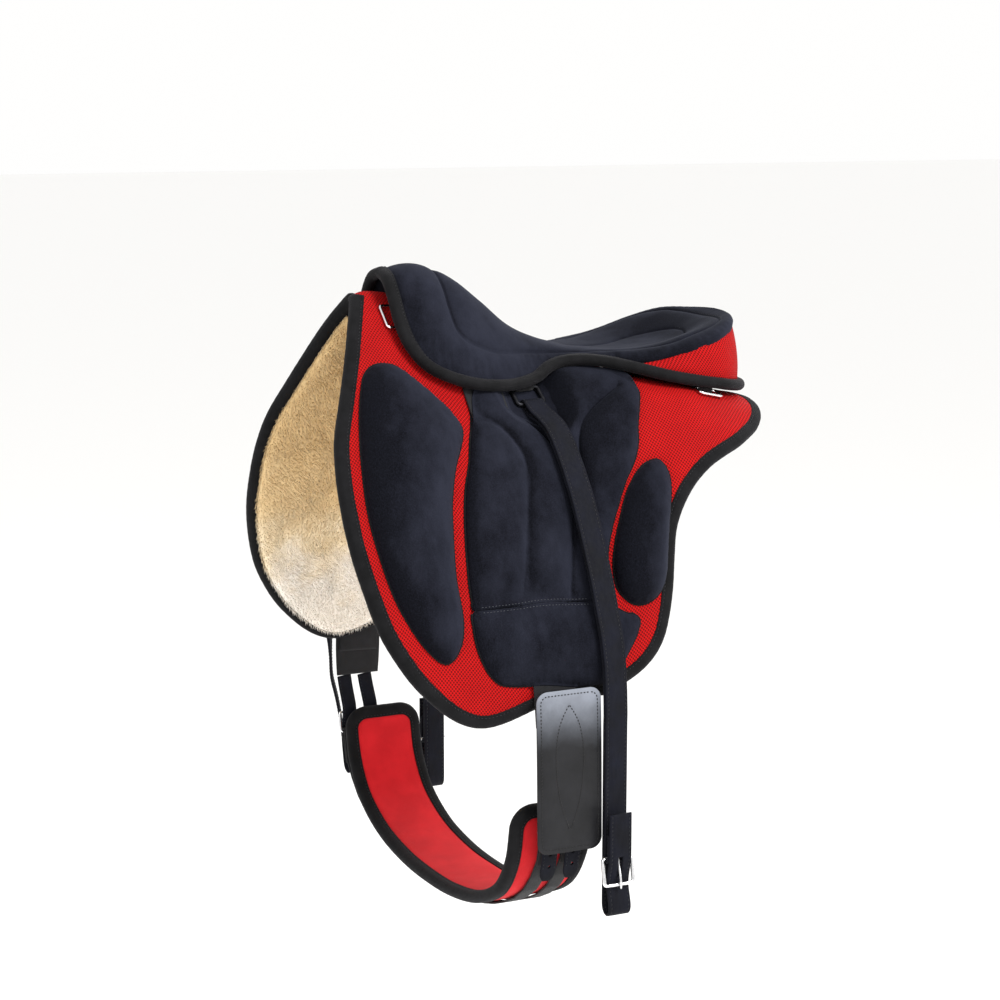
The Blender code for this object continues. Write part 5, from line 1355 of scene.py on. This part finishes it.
def fold(centre, start, towards, radius, steps=10):
    return [centre + start * (radius * math.cos(math.pi * k / steps)) + towards * (radius * math.sin(math.pi * k / steps))
            for k in range(steps + 1)]


def ring_line(centre, a, b, half_a, half_b, corner, steps=8):
    line = []
    for sign_a, sign_b, start in ((1, 1, 0), (-1, 1, 90), (-1, -1, 180), (1, -1, 270)):
        for k in range(steps + 1):
            t = math.radians(start + 90 * k / steps)
            line.append(centre + a * (sign_a * (half_a - corner) + corner * math.cos(t))
                        + b * (sign_b * (half_b - corner) + corner * math.sin(t)))
    return at_pitch(np.array(line), 1.2, closed=True)


def run_point(s_at, table):
    def place(q):
        return on_sheet(np.interp(q, *zip(*LEATHER_Y)), q, np.interp(q, *zip(*table)))
    across = unit(np.cross(place(s_at + 3) - place(s_at - 3), sheet_normal(np.interp(s_at, *zip(*LEATHER_Y)), s_at)))
    return place(s_at), (across if across[1] > 0 else -across)


def leather_path():
    line, across = [], []

    def put(points, direction):
        for q in points:
            line.append(q)
            across.append(direction)

    put([fit(OUTER_X + 7.8, 20, -304), fit(OUTER_X + 7.8, 20, -317)], BACK)
    put(fold(PIVOT_AT, OUT, -UP, 3.9, 6), BACK)
    put([fit(OUTER_X, 20, -304), fit(OUTER_X, 20, -262), fit(OUTER_X, 20, -225), fit(OUTER_X, 20, -190)], BACK)
    for s_at in RUN_S[::-1]:
        q, direction = run_point(s_at, OUTER_OFF)
        put([q], direction)
    put(fold(BAR, BAR_N, -FALL, FOLD_R, 6), LEVEL)
    for s_at in RUN_S:
        q, direction = run_point(s_at, INNER_OFF)
        put([q], direction)
    put([fit(INNER_X, 20, -190), fit(INNER_X, 20, -225), fit(INNER_X, 20, -290), fit(INNER_X, 20, -332), fit(INNER_X, 20, -376)], BACK)
    put(fold(fit(INNER_X + 8, 20, -382), -OUT, -UP, 8.0, 6), BACK)
    put([fit(OUTER_X + 9.8, 20, -372), fit(OUTER_X + 6.2, 20, -362), fit(OUTER_X + 5.9, 20, -354), fit(OUTER_X + 7.4, 20, -346),
         fit(OUTER_X + 10.6, 20, -335), fit(OUTER_X + 11.5, 20, -326), fit(OUTER_X + 11.5, 20, -304), fit(OUTER_X + 11.3, 20, -282)], BACK)
    return np.array(line), np.array(across)


def dense(line, across, pitch=3.0):
    """Straight runs of the line cut into short steps, bends left as they are."""
    out, dirs = [line[0]], [across[0]]
    for i in range(1, len(line)):
        n = max(1, int(round(np.linalg.norm(line[i] - line[i - 1]) / pitch)))
        for k in range(1, n + 1):
            out.append(line[i - 1] + (line[i] - line[i - 1]) * k / n)
            dirs.append(across[i - 1] + (across[i] - across[i - 1]) * k / n)
    return np.array(out), unit(dirs)


def soften(line, rounds=2):
    """Takes the corners out of a line without moving its ends."""
    line = np.array(line, float)
    for _ in range(rounds):
        line[1:-1] = (line[:-2] + 2 * line[1:-1] + line[2:]) / 4
    return line


def wire(name, line, radius, body, replaces=(), closed=False, sides=14, mat=None):
    verts, faces, uv = wire_mesh(line, radius, closed, sides)
    return make(name, verts, faces, mat or CHROME, body, replaces, uv)


def tongue_line(pivot, along, out, loop_r, points):
    line = [pivot + out * (loop_r * math.cos(t)) + along * (loop_r * math.sin(t)) for t in np.radians(80 + 13.0 * np.arange(21))]
    tail = catmull([line[-3], line[-1]] + [pivot + out * o + along * a for o, a in points], 6)[6:]
    return np.vstack([line, tail[1:]])


def tapered(line, radius, last=0.55):
    along = length_along(line)
    return radius * (1 - (1 - last) * np.clip((along - along[-1] + 3.0) / 3.0, 0, 1) ** 2)


for word, side in SIDES:
    body = word + "_leather"
    line, across = leather_path()
    line, across = dense(line, across, 3.2)
    line = soften(line, 2)
    u, v = frames(line, across)
    seed = 17 if side > 0 else 29
    thick = strap_profile(LEATHER_W, LEATHER_T, groove=2.9, edge=0.9)
    verts, faces, uv = sweep(at_side(side, line), at_side(side, u), at_side(side, v), thick)
    strap_obj = make(word + "_leather_strap", verts, faces, STRAP, body, [word + "_stirrup_leather"], uv)
    cut(strap_obj, block(at_side(side, PIVOT_AT + OUT * -0.5 + UP * 0.5), (12.0, 5.6, 14.5)),
        block(at_side(side, PIVOT_AT + OUT * 6.6 + UP * -8.0), (8.0, 4.6, 22.0)))
    v1 = unit(v)
    rows = []
    for a in (-LEATHER_W / 2 + 2.9, LEATHER_W / 2 - 2.9):
        for sign in (1, -1):
            rows.append((at_side(side, line + u * a + v1 * (sign * (LEATHER_T / 2 - 0.18))), at_side(side, v1 * sign)))
    stitches(rows, THREAD, word + "_leather_stitching", body, pitch=4.4, long=3.0, thick=0.4)
    down = unit(FAR_BAR_AT - PIVOT_AT)
    half_long = float(np.linalg.norm(FAR_BAR_AT - PIVOT_AT)) / 2
    wire(word + "_leather_frame", at_side(side, ring_line((PIVOT_AT + FAR_BAR_AT) / 2, BACK, down, 16.4, half_long, 3.2)), 2.0, body,
         [word + "_leather_buckle"], closed=True)
    tongue = tongue_line(PIVOT_AT, -UP, OUT, 3.6, [(4.7, 6.0), (7.3, 14.0), (9.2, 21.0), (9.8, 27.0), (9.9, 30.0)])
    wire(word + "_leather_pin_wire", at_side(side, tongue), tapered(tongue, 1.2), word + "_leather_pin", [word + "_leather_tongue"])
    wire(word + "_bar_wire", at_side(side, ring_line((BAR + HEAD) / 2, LEVEL, FALL, BAR_HALF, BAR_DROP / 2, 3.8)), BAR_R, ROOT,
         [word + "_stirrup_bar"], closed=True, mat=BLACKED)

# Rigging web and the band that holds the stirrup bars.
s_at = np.linspace(-486.0, 452.0, 300)
y_at = -59.0 + 0.045 * s_at
mid = on_sheet(y_at, s_at + 0.001, np.full(300, 3.2))
strap("rigging_band", soften(mid, 3), on_sheet(y_at + 5, s_at + 0.001) - on_sheet(y_at - 5, s_at + 0.001), strap_profile(46.0, 2.0, edge=0.7), WEB,
      ROOT, ["rigging_web"])
HEAD_S = BAR_S - BAR_DROP
slant = level_and_fall(BAR_Y, HEAD_S)[1][1]


def band_at(s_at, off):
    drop = HEAD_S - s_at
    y_at = HEAD[1] - slant * drop * (1 - drop / (2 * HEAD_S))
    over = unit(sheet(y_at + 5, s_at + 0.001) - sheet(y_at - 5, s_at + 0.001))
    if s_at == 0.0:
        over = unit(over * np.array([0, 1, 1]))
    blend = min(1.0, max(0.0, (s_at - 12) / 34))
    return on_sheet(y_at, s_at + 0.001, off), unit(over * (1 - blend) + LEVEL * blend)


half = [band_at(*q) for q in ((0.0, 3.1), (8, 3.1), (16, 3.1), (24, 3.1), (34, 3.1), (44, 3.1), (52, 2.4), (59, 0.7))]
half += [(q, LEVEL) for q in fold(HEAD, -BAR_N, FALL, WEB_BEND)]
half += [band_at(*q) for q in ((58, 6.0), (51, 5.4), (43, 5.2))]
line, across = dense(np.array([*at_side(FAR, [q for q, _ in half[::-1]]), *[q for q, _ in half[1:]]]),
                     np.array([*at_side(FAR, [t for _, t in half[::-1]]), *[t for _, t in half[1:]]]), 2.5)
strap("stirrup_band", line, across, strap_profile(23.0, 1.6, edge=0.6), WEB, ROOT, ["stirrup_web"])


# ---------------------------------------------------------------- D-rings
RING_R, RING_OFF, RING_IN, TAB_W, TAB_T = 1.5, 3.4, 4.0, 18.0, 1.2
RING_SEAT = np.vstack([catmull(SEAT_EDGE, 8), (catmull(SEAT_EDGE, 8)[::-1] * np.array([-1, 1, 1]))[1:-1]])
RING_SEAT = even(RING_SEAT, 400, closed=True) - np.array([0, 0, DATUM])


def ring_frame(x, y, z):
    yy, ss, _ = nearest_on_sheet(fit(x, y, z))
    near_by = int(np.argmin(np.linalg.norm(RING_SEAT - fit(x, y, z), axis=1)))
    n = sheet_normal(yy, ss)
    along = RING_SEAT[(near_by + 4) % 400] - RING_SEAT[near_by - 4]
    along = unit(along - n * (along @ n))
    out = np.cross(n, along)
    out = out if out @ (RING_SEAT[near_by] - np.array([0, 60.0, 0])) > 0 else -out
    return on_sheet(yy, ss, RING_OFF), along, out, n


for place_word, spot in (("front", (43, -136.5, 215)), ("rear", (107.5, 192, 130))):
    root, along, out, n = ring_frame(*spot)
    pivot = root - out * RING_IN
    bend = RING_R + 0.25 + TAB_T / 2
    for word, side in SIDES:
        wire(f"{word}_{place_word}_ring_wire", at_side(side, ring_line(pivot + out * 7.5, along, out, 14.0, 7.5, 3.2)), RING_R,
             f"{word}_{place_word}_ring", [f"{word}_{place_word}_d_ring"], closed=True)
        path = [pivot - out * 20 - n * bend, pivot - out * 10 - n * bend] + fold(pivot, -n, out, bend) + [
            pivot - out * 8 + n * (bend - 1.0), pivot - out * 13 - n * (bend - TAB_T - 0.5), pivot - out * 20 - n * (bend - TAB_T - 0.4)]
        line, dirs = dense(np.array(path), np.tile(along, (len(path), 1)), 1.5)
        strap(f"{word}_{place_word}_tab_loop", at_side(side, line), at_side(side, dirs), strap_profile(TAB_W, TAB_T, edge=0.5), WEB, ROOT,
              [f"{word}_{place_word}_ring_tab"])

# ---------------------------------------------------------------- billets and guards
BLOCK_Y = {"near": -30.5, "far": -80.0}
BLOCK_OFF, BLOCK_T, BILLET_W, BILLET_T = 6.4, 3.0, 17.0, 2.5
GUARD_W, GUARD_CORNER, GUARD_T = 72.0, 12.0, 2.6


def s_at_height(y, z):
    row = sheet(np.full(len(S_GRID) - 60, float(y)), S_GRID[60:])
    return float(np.interp(-z, -(row[:, 2] + DATUM), S_GRID[60:]))


def block_x(y, z, off):
    return float(on_sheet(y, s_at_height(y, z), off)[0])


def varied_strap(name, line, across, widths, thick, mat, body, replaces, groove=None):
    """A strap whose width changes along it."""
    u, v = frames(line, across)
    widths = np.broadcast_to(widths, (len(line),))
    profile = np.stack([strap_profile(w, thick, groove, 0.8) for w in widths])
    verts, faces, uv = sweep(line, u, v, profile)
    return make(name, verts, faces, mat, body, replaces, uv), u, v


for word, side in SIDES:
    mid = BLOCK_Y[word]
    zs = np.linspace(-156, -236, 34)
    line = np.array([on_sheet(mid, s_at_height(mid, z), BLOCK_OFF) for z in zs])
    widths = np.interp(-zs, (156, 204, 220, 236), (54, 54, 53, 51))
    _, u, v = varied_strap(word + "_billet_base", at_side(side, line), np.tile(BACK, (34, 1)), widths, BLOCK_T, WEB, ROOT, [word + "_billet_block"])
    face = unit(v) * (1 if (v[0] @ at_side(side, OUT)) > 0 else -1)
    rows = [(at_side(side, line) + u * a + face * (BLOCK_T / 2 - 0.1), face) for a in (-24.0, 24.0)]
    for k in (2, 31):
        spread = np.linspace(-23, 23, 24)
        rows.append((at_side(side, line)[k] + u[k] * spread[:, None] + face[k] * (BLOCK_T / 2 - 0.1), np.tile(face[k], (24, 1))))
    stitches(rows, THREAD, word + "_billet_base_stitching", pitch=4.0, long=2.8)
    foot_x = float(line[-1][0])
    for place_word, y_top, y_low in (("middle", mid - 16.5 if word == "near" else mid - 17.0, -47.5 if word == "near" else -92.5),
                                     ("rear", mid + 8.5 if word == "near" else mid + 8.0, -21.5 if word == "near" else -66.5)):
        path = [(foot_x, -236.5), (221.2, -250), (218.9, -264), (217.3, -274), (217.2, -284), (218.9, -291.5), (221.7, -299),
                (222.0, -306), (220.4, -320), (216.8, -336), (212.0, -352)]
        points = catmull([fit(x, np.interp(-z, (236, 272), (y_top, y_low)), z) for x, z in path], 6)
        widths = np.full(len(points), BILLET_W)
        widths[-4:] = (16.6, 15.6, 13.6, 10.0)
        obj, u, v = varied_strap(f"{word}_{place_word}_billet_strap", at_side(side, points), np.tile(BACK, (len(points), 1)), widths, BILLET_T, STRAP,
                                 ROOT, [f"{word}_{place_word}_billet"])
        cutters = [block(at_side(side, fit(220.0, y_low, -294.5)), (11.0, 3.6, 17.0))]
        for z in (-322, -336):
            x = float(np.interp(-z, [-p[1] for p in path], [p[0] for p in path]))
            cutters.append(drill(at_side(side, fit(x, np.interp(-z, (236, 272), (y_top, y_low)), z)), OUT, 1.9, 9.0))
        cut(obj, *cutters)
        face = unit(v) * (1 if (v[0] @ at_side(side, OUT)) > 0 else -1)
        stitches([(at_side(side, points)[:-5] + u[:-5] * a + face[:-5] * (sign * (BILLET_T / 2 - 0.1)), face[:-5] * sign)
                  for a in (-6.3, 6.3) for sign in (1, -1)],
                 THREAD, f"{word}_{place_word}_billet_stitching", pitch=4.0, long=2.7, thick=0.36)

far_front = [(block_x(-115, -152, 9.4), -115, -152), (221.5, -114.5, -166), (223, -114, -180), (224, -113, -195), (225, -112, -212),
             (225.5, -111.5, -236), (230, -103.5, -262), (234, -98, -285), (236, -94, -310), (237, -89, -345)]
twist = np.radians([0, 22, 42, 58, 65, 65, 65, 65, 65, 65])
for word, side, path, turn in (("far", FAR, far_front, twist),):
    line, across = dense(np.array([fit(*q) for q in path]), np.stack([np.sin(turn), np.cos(turn), 0 * turn], 1), 4.0)
    line = soften(line, 6)
    widths = np.full(len(line), BILLET_W)
    widths[-3:] = (16.0, 14.0, 10.5)
    obj, u, v = varied_strap(word + "_front_billet_strap", at_side(side, line), at_side(side, across), widths, BILLET_T, STRAP, ROOT,
                             [word + "_front_billet"])
    cut(obj, *[drill(at_side(side, line)[-k], unit(v)[-k], 1.9, 8.0) for k in (4, 9, 14)])
    stitches([(at_side(side, line)[:-5] + u[:-5] * a + unit(v)[:-5] * (sign * (BILLET_T / 2 - 0.1)), unit(v)[:-5] * sign)
              for a in (-6.3, 6.3) for sign in (1, -1)], THREAD, word + "_front_billet_stitching", pitch=4.0, long=2.7, thick=0.36)

GUARD_LINE = [(224.6, -152.0), (224.9, -157.0), (225.4, -163.0), (226.1, -172.0), (226.8, -185.0), (227.6, -205.0), (228.4, -230.0),
              (229.0, -258.0), (229.5, -285.0), (229.8, -300.0), (230.0, -309.0), (230.1, -315.0), (230.2, -318.5)]
GUARD_AXIS = (226.2, -153.6)


def guard_width(z):
    depth = min(-152.0 - z, z + 318.5)
    return GUARD_W - 2 * GUARD_CORNER + 2 * math.sqrt(max(0.0, GUARD_CORNER ** 2 - max(0.0, GUARD_CORNER - depth) ** 2))


gz = np.unique(np.round(np.r_[-152.0 - GUARD_CORNER * (1 - np.cos(np.linspace(0.12, math.pi / 2, 9))), np.linspace(-166, -304.5, 30),
                              -318.5 + GUARD_CORNER * (1 - np.cos(np.linspace(0.12, math.pi / 2, 9)))], 3))[::-1]
gx = np.interp(-gz, [-z for _, z in GUARD_LINE], [x for x, _ in GUARD_LINE])
# Leaf stitched on the guard: half widths from its point down.
LEAF = [(-167.0, 0.0), (-172, 3.2), (-180, 7.8), (-190, 11.6), (-202, 14.0), (-216, 15.2), (-232, 15.0), (-250, 13.4), (-266, 10.4),
        (-280, 6.4), (-290, 2.8), (-296.0, 0.0)]
for word, side, mid, turned in (("near", NEAR, -30.0, 0.0), ("far", FAR, -80.0, 184.0)):
    t = math.radians(turned)

    def hang(x, y, z):
        dx, dz = x - GUARD_AXIS[0], z - GUARD_AXIS[1]
        p = np.stack([GUARD_AXIS[0] + dx * math.cos(t) - dz * math.sin(t), mid + y, GUARD_AXIS[1] + dx * math.sin(t) + dz * math.cos(t) - DATUM], -1)
        return at_side(side, p)

    line = hang(gx, np.zeros(len(gz)), gz)
    obj, u, v = varied_strap(word + "_guard_leather", line, np.tile(BACK, (len(gz), 1)), [guard_width(z) for z in gz], GUARD_T, SMOOTH,
                             word + "_guard", [word + "_buckle_guard"], groove=None)
    outer = unit(hang(gx + 1.0, np.zeros(len(gz)), gz) - line)

    def on_guard(y, z, out=GUARD_T / 2 - 0.05):
        x = np.interp(-z, [-q for _, q in GUARD_LINE], [p for p, _ in GUARD_LINE])
        return hang(x + out, y, z), np.tile(outer[0], (len(z), 1))

    leaf = catmull(LEAF, 5)
    inner = 4.6
    border_z = np.r_[-152.0 - inner - (GUARD_CORNER - inner) * (1 - np.cos(np.linspace(0, math.pi / 2, 8))), np.linspace(-168, -302.5, 30),
                     (-318.5 + inner + (GUARD_CORNER - inner) * (1 - np.cos(np.linspace(math.pi / 2, 0, 8))))]
    half_w = np.array([GUARD_W / 2 - GUARD_CORNER + math.sqrt(max(0.0, (GUARD_CORNER - inner) ** 2 - max(0.0, GUARD_CORNER - min(-152.0 - z, z + 318.5)) ** 2))
                       for z in border_z])
    top_y = np.linspace(-half_w[0], half_w[0], 20)
    rows = [on_guard(half_w, border_z), on_guard(-half_w, border_z), on_guard(top_y, np.full(20, border_z[0])), on_guard(top_y, np.full(20, border_z[-1])),
            on_guard(leaf[:, 1], leaf[:, 0]), on_guard(-leaf[:, 1], leaf[:, 0])]
    stitches(rows, THREAD_DARK, word + "_guard_stitching", word + "_guard", pitch=3.6, long=2.7, thick=0.6)

# ---------------------------------------------------------------- girth
GIRTH_W, GIRTH_T, GIRTH_CORNER, GIRTH_EDGE_R = 92.0, 14.0, 25.0, 6.5
near_half = [(0, -410), (60, -407), (120, -395), (170, -370), (196, -335), (204, -300), (205, -272)]
GIRTH_LINE = even(catmull([(-x, z) for x, z in near_half[:0:-1]] + near_half, 12), 400)
GIRTH_ALONG = length_along(GIRTH_LINE)
GIRTH_L = float(GIRTH_ALONG[-1])


def girth_at(d, across, out):
    """Points on the girth: d along from the far end, across from its middle line, out from its middle surface."""
    d, across, out = np.broadcast_arrays(np.asarray(d, float), np.asarray(across, float), np.asarray(out, float))

    def mid(q):
        return np.stack([np.interp(q, GIRTH_ALONG, GIRTH_LINE[:, k]) for k in (0, 1)], -1)
    p = mid(d)
    t = unit(mid(np.minimum(d + 4, GIRTH_L)) - mid(np.maximum(d - 4, 0)))
    return np.stack([p[..., 0] + t[..., 1] * out, -57 + 19 * d / GIRTH_L + across, p[..., 1] - t[..., 0] * out - DATUM], -1)


def girth_half(d, inset):
    corner = GIRTH_CORNER - inset
    return GIRTH_W / 2 - inset - corner + math.sqrt(max(0.0, corner ** 2 - max(0.0, GIRTH_CORNER - d) ** 2))


def girth_outline(inset, pitch=3.0):
    ends = inset + (GIRTH_CORNER - inset) * (1 - np.cos(np.linspace(0, math.pi / 2, 14)))
    d = np.r_[ends, np.linspace(GIRTH_CORNER + 4, GIRTH_L - GIRTH_CORNER - 4, 60), GIRTH_L - ends[::-1]]
    w = np.array([girth_half(min(q, GIRTH_L - q), inset) for q in d])
    return at_pitch(np.vstack([np.stack([d, w], 1), np.stack([d, -w], 1)[::-1]]), pitch, closed=True)


outline = girth_outline(4.6)
q, top, n, _ = flat_mesh(outline, 4.2, (1.0, 2.4, 4.4), 3.0)
d = distance(q, outline, True)[0]
p3 = np.column_stack([q, np.zeros(len(q))])
crown = np.sqrt(1 - (1 - np.clip(d / 15.0, 0, 1)) ** 2) * (6.0 + 0.5 * noise(p3, 36, 61) + 0.2 * noise(p3, 13, 62))
crown = crown - 1.2 * np.exp(-np.abs(d - 4.4) / 1.6)
crown[:n] = 0.0
upper = girth_at(q[:, 0], q[:, 1], np.maximum(crown, 0.0))
lower = girth_at(q[n:, 0], q[n:, 1], -np.maximum(crown[n:], 0.3))
faces = list(top) + [tuple((i if i < n else i - n + len(q)) for i in f)[::-1] for f in top]
verts = np.vstack([upper, lower])
girth_pad = make("girth_cover", verts, outward(faces, verts), GIRTH, replaces=["girth_pad"], uv=np.vstack([q, q[n:]]))

mid_line = girth_outline(GIRTH_EDGE_R, 2.6)
beyond = inset_loop(mid_line, 1.0 if signed_area(mid_line) > 0 else -1.0, closed=True)
line = girth_at(mid_line[:, 0], mid_line[:, 1], 0.0)
u = unit(girth_at(beyond[:, 0], beyond[:, 1], 0.0) - line)
v = unit(girth_at(mid_line[:, 0], mid_line[:, 1], 1.0) - line)
verts, faces, uv = taped(line, u, v, GIRTH_EDGE_R, 33, closed=True)
girth_tape = make("girth_tape", verts, faces, BINDING, replaces=["girth_binding"], uv=uv)
stitches([(line - u * (0.63 * GIRTH_EDGE_R) + v * (sign * 0.955 * GIRTH_EDGE_R), v * sign) for sign in (1, -1)], THREAD, "girth_tape_stitching",
         pitch=4.0, long=2.7)

PIVOT_X, PIVOT_Z, TOP_X, TOP_Z = 215.9, -302.0, 220.4, -280.0
GIRTH_BEND = 1.5 + 0.45 + 1.0
for place_word, near_y, far_y in (("front", -47.5, -92.5), ("rear", -21.5, -66.5)):
    line = []
    for word, y_end in (("far", far_y), ("near", near_y)):
        pivot = fit(PIVOT_X, y_end, PIVOT_Z)
        tail = []
        for d_in, out in ((62, 11.8), (50, 11.6)):
            p = girth_at(GIRTH_L - d_in, 0, out)
            tail.append(np.array([p[0], y_end, p[2]]))
        tail += [fit(PIVOT_X + GIRTH_BEND, y_end, PIVOT_Z - 6)]
        part_line = tail + fold(pivot, OUT, UP, GIRTH_BEND)
        p = girth_at(GIRTH_L - 42, 0, 9.0)
        part_line += [np.array([p[0], y_end, p[2]])]
        if word == "near":
            line += part_line[::-1]
        else:
            line += list(at_side(FAR, part_line))
            for d in np.linspace(58, GIRTH_L - 58, 23):
                p = girth_at(d, 0, 9.2)
                line.append(np.array([p[0], np.interp(d, (58, GIRTH_L - 58), (far_y, near_y)), p[2]]))
    line, across = dense(np.array(line), np.tile(BACK, (len(line), 1)), 3.5)
    web = strap(f"girth_{place_word}_strap", line, across, strap_profile(BILLET_W, 2.0, edge=0.7), WEB, ROOT, [f"girth_{place_word}_web"])
    slots = []
    for word, side, y_end in (("near", NEAR, near_y), ("far", FAR, far_y)):
        pivot, top_bar = fit(PIVOT_X, y_end, PIVOT_Z), fit(TOP_X, y_end, TOP_Z)
        slots.append(block(at_side(side, pivot + UP * -1.0), (12.0, 4.4, 13.0)))
        rise = unit(top_bar - pivot)
        wire(f"{word}_{place_word}_girth_frame", at_side(side, ring_line((pivot + top_bar) / 2, BACK, rise, 11.2,
             float(np.linalg.norm(top_bar - pivot)) / 2, 2.6)), 1.5, ROOT, [f"{word}_{place_word}_girth_buckle"], closed=True)
        tongue = tongue_line(pivot, UP, OUT, 2.9, [(4.4, 5.0), (6.9, 13.0), (7.7, 19.0), (7.9, 24.0), (8.0, 26.0)])
        wire(f"{word}_{place_word}_girth_pin_wire", at_side(side, tongue), tapered(tongue, 1.0), f"{word}_{place_word}_girth_pin",
             [f"{word}_{place_word}_girth_tongue"])
    cut(web, *slots)


# ---------------------------------------------------------------- stage
def stage_and_light():
    scene = bpy.context.scene
    scene.view_settings.view_transform = "Standard"
    world = bpy.data.worlds.new("studio")
    scene.world = world
    world.use_nodes = True
    world.node_tree.nodes["Background"].inputs["Color"].default_value = (1.0, 0.997, 0.990, 1)
    world.node_tree.nodes["Background"].inputs["Strength"].default_value = 1.0
    mesh = bpy.data.meshes.new("floor")
    r = 40.0
    mesh.from_pydata([(-r, -r, -1.25), (r, -r, -1.25), (r, r, -1.25), (-r, r, -1.25)], [], [(0, 1, 2, 3)])
    floor = bpy.data.objects.new("floor", mesh)
    scene.collection.objects.link(floor)
    mat = bpy.data.materials.new("pale_floor")
    mat.use_nodes = True
    mat.node_tree.nodes["Principled BSDF"].inputs["Base Color"].default_value = (0.96, 0.955, 0.945, 1)
    mat.node_tree.nodes["Principled BSDF"].inputs["Roughness"].default_value = 0.9
    mesh.materials.append(mat)
    for name, at, size, power in (("key", (2.3, 0.9, 2.1), 1.1, 118.0), ("front", (1.3, -2.4, 1.2), 1.6, 16.0), ("rear", (-1.4, 2.0, 1.6), 1.4, 20.0),
                                  ("side", (2.6, 1.9, 0.35), 0.9, 16.0)):
        data = bpy.data.lights.new(name, "AREA")
        data.size, data.energy = size, power
        lamp = bpy.data.objects.new(name, data)
        lamp.location = at
        lamp.rotation_euler = (Vector(at) - Vector((0, 0, -0.15))).to_track_quat("Z", "Y").to_euler()
        scene.collection.objects.link(lamp)


stage_and_light()
